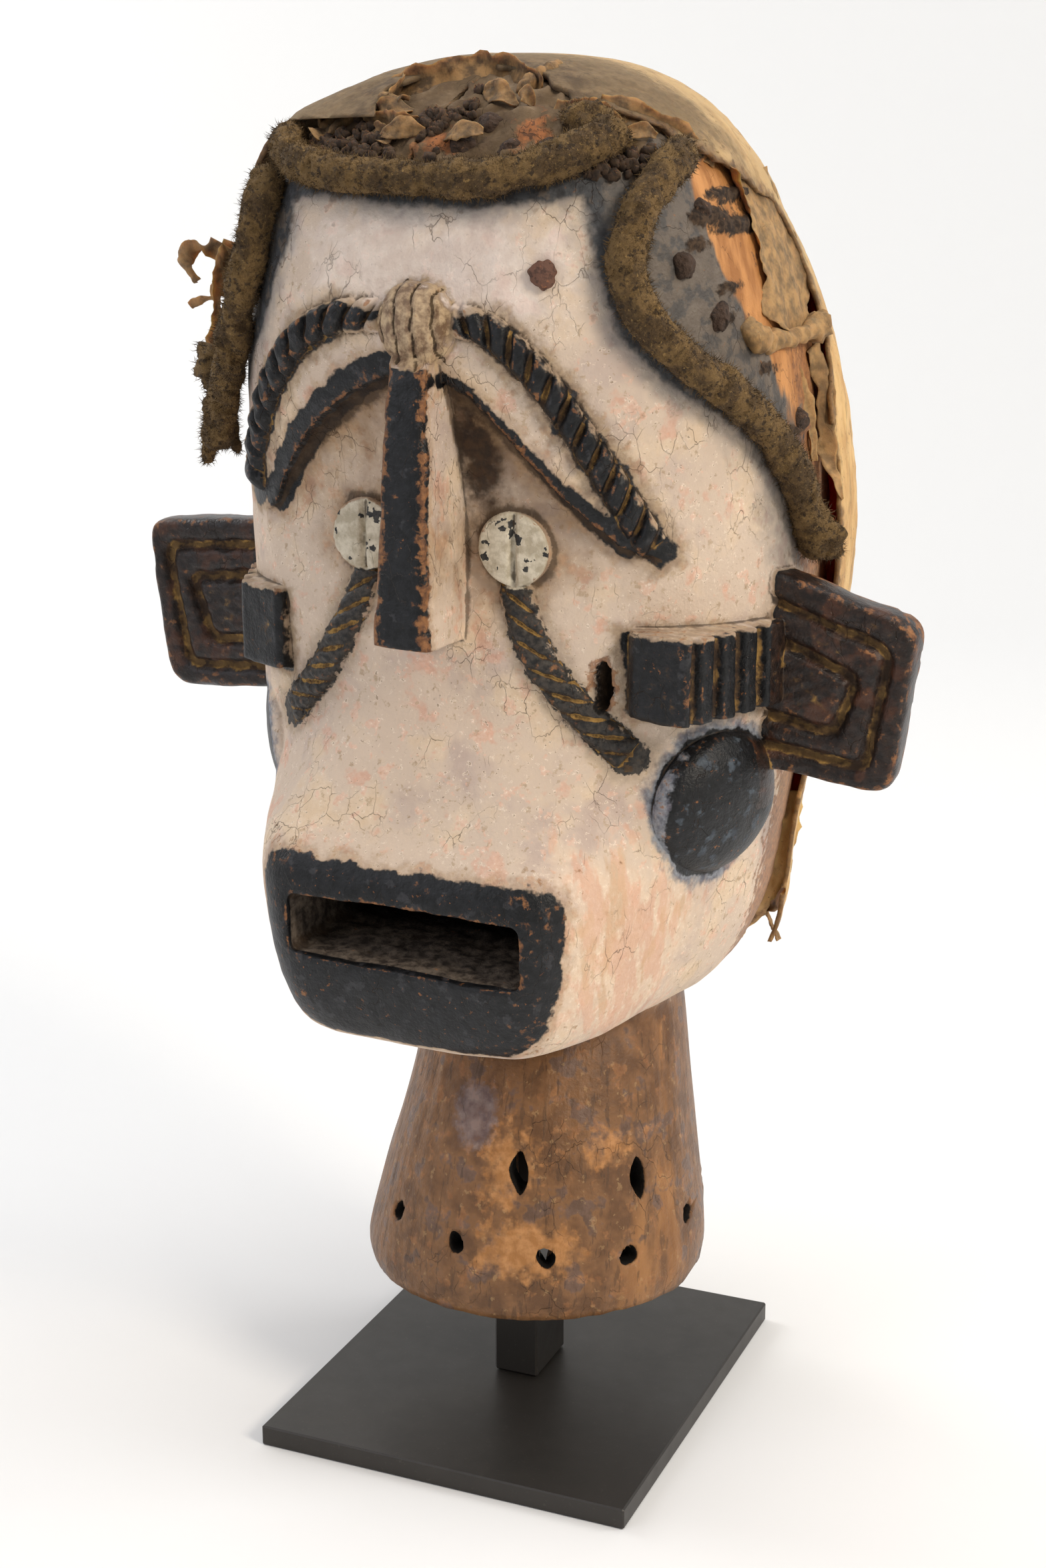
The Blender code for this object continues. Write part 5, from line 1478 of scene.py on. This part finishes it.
def build_layers(name, rows, base, bumps, strength=0.8, depth=0.0005):
    """A material from layers of paint, wear and dirt, from the bottom up.

    A row is: the field that it follows, or None; where it starts and where it is full, in mm;
    how much its border wanders in mm and the size of that wander; its strength; its dark and
    its light colour and the size of their mottling; its roughness; and, where the noise isn't
    even, its stretch.
    """
    surface = bpy.data.materials.new(name)
    surface.use_nodes = True
    tree = surface.node_tree
    shader = tree.nodes["Principled BSDF"]
    colour, rough = base
    tone = add(tree, "Mix", {0: speckle(tree, 26.0), 6: linear(colour[0]), 7: linear(colour[1])},
               data_type="RGBA").outputs[2]
    dullness = add(tree, "MapRange", {"Value": speckle(tree, 9.0), "To Min": rough - 0.08,
                                      "To Max": rough + 0.08}).outputs[0]
    for row in rows:
        field, start, full, wander, size, share, dark, light, mottle, rough, *stretch = row
        stretch = stretch[0] if stretch else EVEN
        along = "tube" if stretch == LONG else None
        value = speckle(tree, size, stretch, 4.0, along)
        if field:
            reach = add(tree, "Attribute", attribute_name=field).outputs["Fac"]
            centred = add(tree, "MapRange", {"Value": value, "From Min": 0.25, "From Max": 0.75,
                                             "To Min": -wander, "To Max": wander}, clamp=False)
            value = add(tree, "Math", {0: reach, 1: centred.outputs[0]}, operation="ADD").outputs[0]
        mask = add(tree, "MapRange", {"Value": value, "From Min": start, "From Max": full,
                                      "To Max": share}, interpolation_type="SMOOTHSTEP").outputs[0]
        mix = add(tree, "MapRange", {"Value": speckle(tree, mottle, stretch, 3.0, along),
                                     "From Min": 0.38, "From Max": 0.62}).outputs[0]
        own = add(tree, "Mix", {0: mix, 6: linear(dark), 7: linear(light)}, data_type="RGBA").outputs[2]
        tone = add(tree, "Mix", {0: mask, 6: tone, 7: own}, data_type="RGBA").outputs[2]
        dullness = add(tree, "Mix", {0: mask, 2: dullness, 3: rough}).outputs[0]
    height, tone = bump_height(tree, bumps, tone)
    bump = add(tree, "Bump", {"Height": height, "Strength": strength, "Distance": depth})
    tree.links.new(tone, shader.inputs["Base Color"])
    tree.links.new(dullness, shader.inputs["Roughness"])
    tree.links.new(bump.outputs[0], shader.inputs["Normal"])
    return surface


def painted_wood():
    """Earth paint on dense wood: a matt cream clay, cracked and stained, with blue-black over it.

    The paint is rubbed off the high edges down to orange-brown wood. The neck was never painted:
    it is handled wood with patches where the grain is torn pale. Dirt and painted shade lie in the hollows.
    """
    rows = [
        # field, start, full, wander, size, share, dark, light, mottle, roughness, stretch
        (None, 0.48, 0.64, 0, 26, 0.7, "d8bd9c", "e2cbb0", 6, 0.82),
        (None, 0.52, 0.64, 0, 40, 0.7, "b5a096", "c6b4a8", 12, 0.85),
        (None, 0.56, 0.66, 0, 12, 0.6, "cc967e", "dcb09a", 3.4, 0.85),
        (None, 0.59, 0.68, 0, 3.4, 0.6, "a08668", "bca588", 2, 0.88),
        (None, 0.585, 0.65, 0, 6, 0.55, "d9a78e", "e8c6b0", 2, 0.85),
        (None, 0.60, 0.66, 0, 2, 0.6, "e6d4bf", "f2e4d4", 6, 0.85),
        (None, 0.66, 0.70, 0, 2, 0.6, "6a5138", "8b6e4e", 6, 0.9),
        (None, 0.665, 0.72, 0, 1.1, 0.6, "4b3824", "75583a", 2, 0.9),
        ("pale", -8, 12, 14, 12, 0.65, "d8c8bf", "e8dcd3", 6, 0.85),
        ("rub", -8, 16, 16, 12, 0.45, "e2c2a2", "eed6bc", 2, 0.75),
        ("rub", 8, 20, 26, 2.6, 0.5, "c8937a", "dba98c", 6, 0.7, LONG),
        ("rub", 16, 24, 26, 6, 0.45, "b98e64", "cba67e", 2.6, 0.7, LONG),
        # painted shade with some grime, brown under the brows and around the eyes
        ("socket", -4, 24, 9, 12, 0.8, "7d6045", "a3835f", 6, 0.85),
        # painted shadow of the brow with some soot, near black beside the nose
        ("soot", -4, 8, 5, 6, 0.95, "1f1209", "3c2715", 3.4, 0.8),
        ("black", -4.5, -0.6, 3.5, 6, 0.5, "8a6a4a", "b0906c", 3.4, 0.8),
        ("hair", -8, 2, 4, 12, 0.75, "6c6c6e", "928d86", 6, 0.8),
        ("boss", -5.5, -0.5, 3.0, 6, 0.8, "46586e", "8492a0", 3.4, 0.8),
        ("carved", -6, -0.5, 2.5, 6, 0.5, "7c6850", "a08c70", 3.4, 0.8),
        ("hair", -1.5, 1.6, 1.8, 6, 0.96, "27282b", "414346", 3.4, 0.62),
        ("hair", 5, 8, 3, 12, 0.95, "48433f", "615a53", 6, 0.5),
        ("hair", 10, 20, 30, 6, 0.4, "6d5c4c", "7a6a58", 3.4, 0.5),
        ("bare", -0.3, 0.5, 1.3, 6, 1, "9a6535", "c48a52", 3.4, 0.65, LONG),
        ("bare", 11, 15, 16, 6, 0.8, "5d4130", "7d5a40", 2, 0.85),
        ("crown", -1, 2, 3, 3.4, 1, "5a4833", "75614a", 12, 0.9),
        ("crown", 12, 20, 12, 6, 0.7, "3a2c1f", "52402f", 6, 0.9),
        ("crown", 12, 20, 12, 12, 0.6, "84705a", "958067", 6, 0.9),
        ("plank", -2, 2, 5, 6, 0.9, "7c4c2a", "a8683a", 3.4, 0.75),
        ("plank", 5, 8, 12, 2, 0.8, "3b281b", "54392a", 3.4, 0.85),
        ("crust", -1, 0.4, 1.4, 3.4, 1, "241a13", "4a392a", 2, 0.92),
        ("neck", -2, 2, 4, 6, 1, "64452b", "88613e", 12, 0.42),
        ("neck", 19, 27, 20, 26, 0.6, "9a6a3d", "b98450", 6, 0.5, LONG),
        ("neck", 16, 21, 20, 12, 0.75, "4f3f38", "6c5850", 6, 0.38),
        ("neck", 17, 24, 20, 6, 0.5, "8a5a34", "a8764a", 3.4, 0.5),
        ("neck", 18, 22, 20, 2, 0.5, "39281c", "57402c", 3.4, 0.5, LONG),
        ("neck", 22, 26, 20, 3.4, 0.4, "a07f55", "b29266", 2, 0.5),
        ("patches", -5, 4, 7, 6, 0.8, "a8733f", "c48d58", 3.4, 0.65),
        ("stain", -2, 3, 3, 3.4, 0.75, "5d4c4e", "857674", 6, 0.35),
        ("knot", -2.4, 0.6, 2, 3.4, 0.9, "64492f", "b59c7a", 3.4, 0.85),
        ("rib", 0.35, 0.75, 0.25, 2, 0.9, "2a1e14", "4a3822", 3.4, 0.9),
        ("black", -0.5, 0.5, 1.5, 6, 1, "090a0c", "18191c", 3.4, 0.42),
        ("black", 7, 11, 12, 6, 0.6, "2e2e31", "414043", 2, 0.5),
        ("black", 12.0, 12.8, 12, 2, 0.8, "5a3822", "925e36", 3.4, 0.6),
        ("boss", 6, 11, 12, 6, 0.6, "333d48", "55616c", 3.4, 0.6),
        ("tear", -0.4, 0.4, 1.6, 3.4, 1, "1b1a19", "403a34", 2, 0.5),
        ("ear", 0.5, 4, 4, 6, 0.8, "1e1613", "34251d", 3.4, 0.32),
        ("ear", 8, 14, 12, 12, 0.6, "432618", "5e3a26", 6, 0.38),
        # painted shade, dark brown, in the cuts of the ridges, tears, ears and cheek bands; then the ochre
        # of their floors
        ("groove", 0.1, 0.6, 0.5, 3.4, 0.9, "372515", "6e5230", 6, 0.75),
        ("groove", 0.45, 1.0, 0.9, 6, 0.75, "8a6835", "b08a48", 3.4, 0.8),
        ("mouth", 2, 22, 4, 6, 0.9, "3a312a", "75685b", 3.4, 0.8),
        ("eye", 0.2, 0.9, 0.5, 2, 1, "b0a48e", "d2c8b4", 3.4, 0.7),
        ("eye", 6.0, 6.5, 10, 6, 1, "28282a", "44423f", 2, 0.7),
        # painted shade: near black on the walls of the cheek's slit and the neck's holes
        ("slit", -0.5, 0.6, 0.6, 2, 1, "0c0906", "17110c", 3.4, 0.9),
        ("proud", 0.75, 1.25, 0.9, 3.4, 0.75, "6b442a", "a06c40", 2, 0.6),
        # painted shade with some dirt: darker in hollows and creases, where the wood lies below its smoothed
        # surroundings
        ("proud", -0.25, -0.8, 0.25, 3.4, 0.75, "2c1f15", "4c3a28", 6, 0.9),
    ]
    bumps = [("noise", 1.1, EVEN, 0.4), ("noise", 3.4, EVEN, 0.5), ("noise", 6, EVEN, 0.7),
             ("noise", 2.6, LONG, 0.45), ("cracks", 8.0, (1, 1, 1.6), -0.5)]
    surface = build_layers("painted wood", rows, (("c8b29e", "d9c7b5"), 0.84), bumps, 0.9, 0.0007)
    surface.node_tree.nodes["Principled BSDF"].inputs["Specular IOR Level"].default_value = 0.35
    return surface


def dried_hide():
    """Raw hide dried hard: tan and brittle, dusty on the crown, golden low on its right side, partly its own
    tan and partly a painted glow where light comes through.

    Thin hide scatters light inside, so its free edges glow; its torn rims are dark brown.
    """
    rows = [
        (None, 0.45, 0.65, 0, 26, 0.7, "a98451", "cba870", 7, 0.6, (1, 1, 2.5)),
        # golden tan, partly a painted glow of light coming through the hide
        ("gold", 2, 12, 4, 14, 0.75, "bf8d4a", "dfb676", 8, 0.55, (1, 1, 2.5)),
        (None, 0.55, 0.68, 0, 8, 0.6, "846640", "9d7c50", 3, 0.7, (1, 1, 3)),
        ("top", -8, 16, 12, 14, 0.95, "6e5b40", "9a8160", 5, 0.88),
        ("top", 8, 20, 20, 5, 0.6, "453623", "5e4b34", 2.5, 0.9),
        ("rim", -4.5, -0.5, 3, 5, 0.8, "452f1d", "71502c", 2.5, 0.7),
        (None, 0.64, 0.72, 0, 2.2, 0.75, "3c2c1c", "5b452c", 2, 0.9),
        ("front", -4, 10, 8, 8, 0.85, "4a3a28", "6f5b42", 5, 0.9),
        ("loose", 0.1, 0.9, 0.5, 8, 0.8, "54402a", "a07b4e", 5, 0.85),
        ("loose", 1.2, 1.7, 0.1, 5, 1, "2a1e15", "4b3929", 2.5, 0.92),
    ]
    bumps = [("noise", 1.3, EVEN, 0.5), ("noise", 4.0, (1, 1, 3), 0.7), ("noise", 0.7, EVEN, 0.3),
             ("cracks", 9.0, (1, 1, 2.5), -0.3)]
    surface = build_layers("dried hide", rows, (("a98a5e", "c8a877"), 0.62), bumps)
    shader = surface.node_tree.nodes["Principled BSDF"]
    shader.inputs["Subsurface Weight"].default_value = 0.25
    shader.inputs["Subsurface Radius"].default_value = (1.0, 0.5, 0.2)
    shader.inputs["Subsurface Scale"].default_value = 0.003
    return surface


def rolled_skin():
    """Skin rolled with its short hair outwards: olive-brown felt, matt, with darker matted tufts."""
    rows = [
        (None, 0.46, 0.58, 0, 9, 0.85, "3c2d1b", "5c462a", 2.4, 0.95),
        (None, 0.53, 0.64, 0, 2.4, 0.85, "241a10", "37291a", 1.5, 0.95),
        (None, 0.58, 0.70, 0, 1.1, 0.6, "9a7b48", "ad8c55", 1.5, 0.95),
    ]
    bumps = [("noise", 0.7, EVEN, 1.0), ("noise", 2.2, EVEN, 1.0)]
    return build_layers("rolled skin", rows, (("68502e", "7f643c"), 0.95), bumps, 1.0, 0.0009)


def peg_wood():
    """Broken pegs in old glue and soot: nearly black, crumbly, with brown on the breaks."""
    rows = [
        (None, 0.5, 0.62, 0, 3, 0.8, "1f1611", "33261c", 1.5, 0.9),
        (None, 0.6, 0.7, 0, 1.6, 0.7, "6b4a33", "7e5c42", 1.5, 0.85),
    ]
    return build_layers("peg wood", rows, (("3a2a20", "4b382b"), 0.88),
                        [("noise", 0.9, EVEN, 1.0), ("noise", 2.4, EVEN, 0.8)], 1.0, 0.0008)


def rusty_iron():
    """A forged nail long rusted: dark brown scale with orange in the pits, hardly shiny."""
    rows = [
        (None, 0.5, 0.6, 0, 2.2, 0.8, "3a241b", "4d3227", 1.2, 0.75),
        (None, 0.6, 0.68, 0, 1.3, 0.8, "8a5636", "9a6340", 1.0, 0.85),
    ]
    return build_layers("rusty iron", rows, (("5d3e30", "6e4a38"), 0.7),
                        [("noise", 0.8, EVEN, 1.0), ("noise", 2.0, EVEN, 0.7)], 0.8, 0.0005)


def blackened_steel():
    """Steel plate oiled and blackened: brown-black, an even low sheen with faint wiping marks."""
    rows = [
        (None, 0.46, 0.66, 0, 60, 0.6, "2d2a27", "393531", 15, 0.46, (1, 1, 1)),
        (None, 0.60, 0.72, 0, 1.6, 0.35, "4a4641", "57524c", 2, 0.5),
    ]
    surface = build_layers("blackened steel", rows, (("302d2a", "3a3632"), 0.42),
                           [("noise", 0.8, EVEN, 0.3), ("noise", 5.0, (6, 1, 1), 0.3)], 0.15, 0.0002)
    surface.node_tree.nodes["Principled BSDF"].inputs["Metallic"].default_value = 0.35
    return surface


def studio_paper():
    """Matt white background paper."""
    surface = bpy.data.materials.new("studio paper")
    surface.use_nodes = True
    shader = surface.node_tree.nodes["Principled BSDF"]
    shader.inputs["Base Color"].default_value = linear("eeeeee")
    shader.inputs["Roughness"].default_value = 0.95
    return surface


def show(shape, surface, node):
    """Smooth shading, a finish, and the CAD node that the piece stands for."""
    shape.data.materials.clear()
    shape.data.materials.append(surface)
    shape.data.polygons.foreach_set("use_smooth", [True] * len(shape.data.polygons))
    shape.data.update()
    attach(shape, "root")
    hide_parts(node)


set_camera()
set_lights()

show(make_head(), painted_wood(), "carved_head")
show(make_hide(), dried_hide(), "hide_cover")
FELT = rolled_skin()
for name, path in ROLLS.items():
    show(roll_surface(name, path), FELT, name)
CRUST = peg_wood()
for count, (name, (turn, height)) in enumerate(PEGS.items()):
    show(peg_lump(name, turn, height, 60 + count), CRUST, name)
show(nail_head(), rusty_iron(), "forehead_nail")
STEEL = blackened_steel()
for name in ("stand_plate", "stand_post"):
    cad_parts[name].data.materials.clear()
    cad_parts[name].data.materials.append(STEEL)
floor = floor_sweep()
floor.data.materials.append(studio_paper())
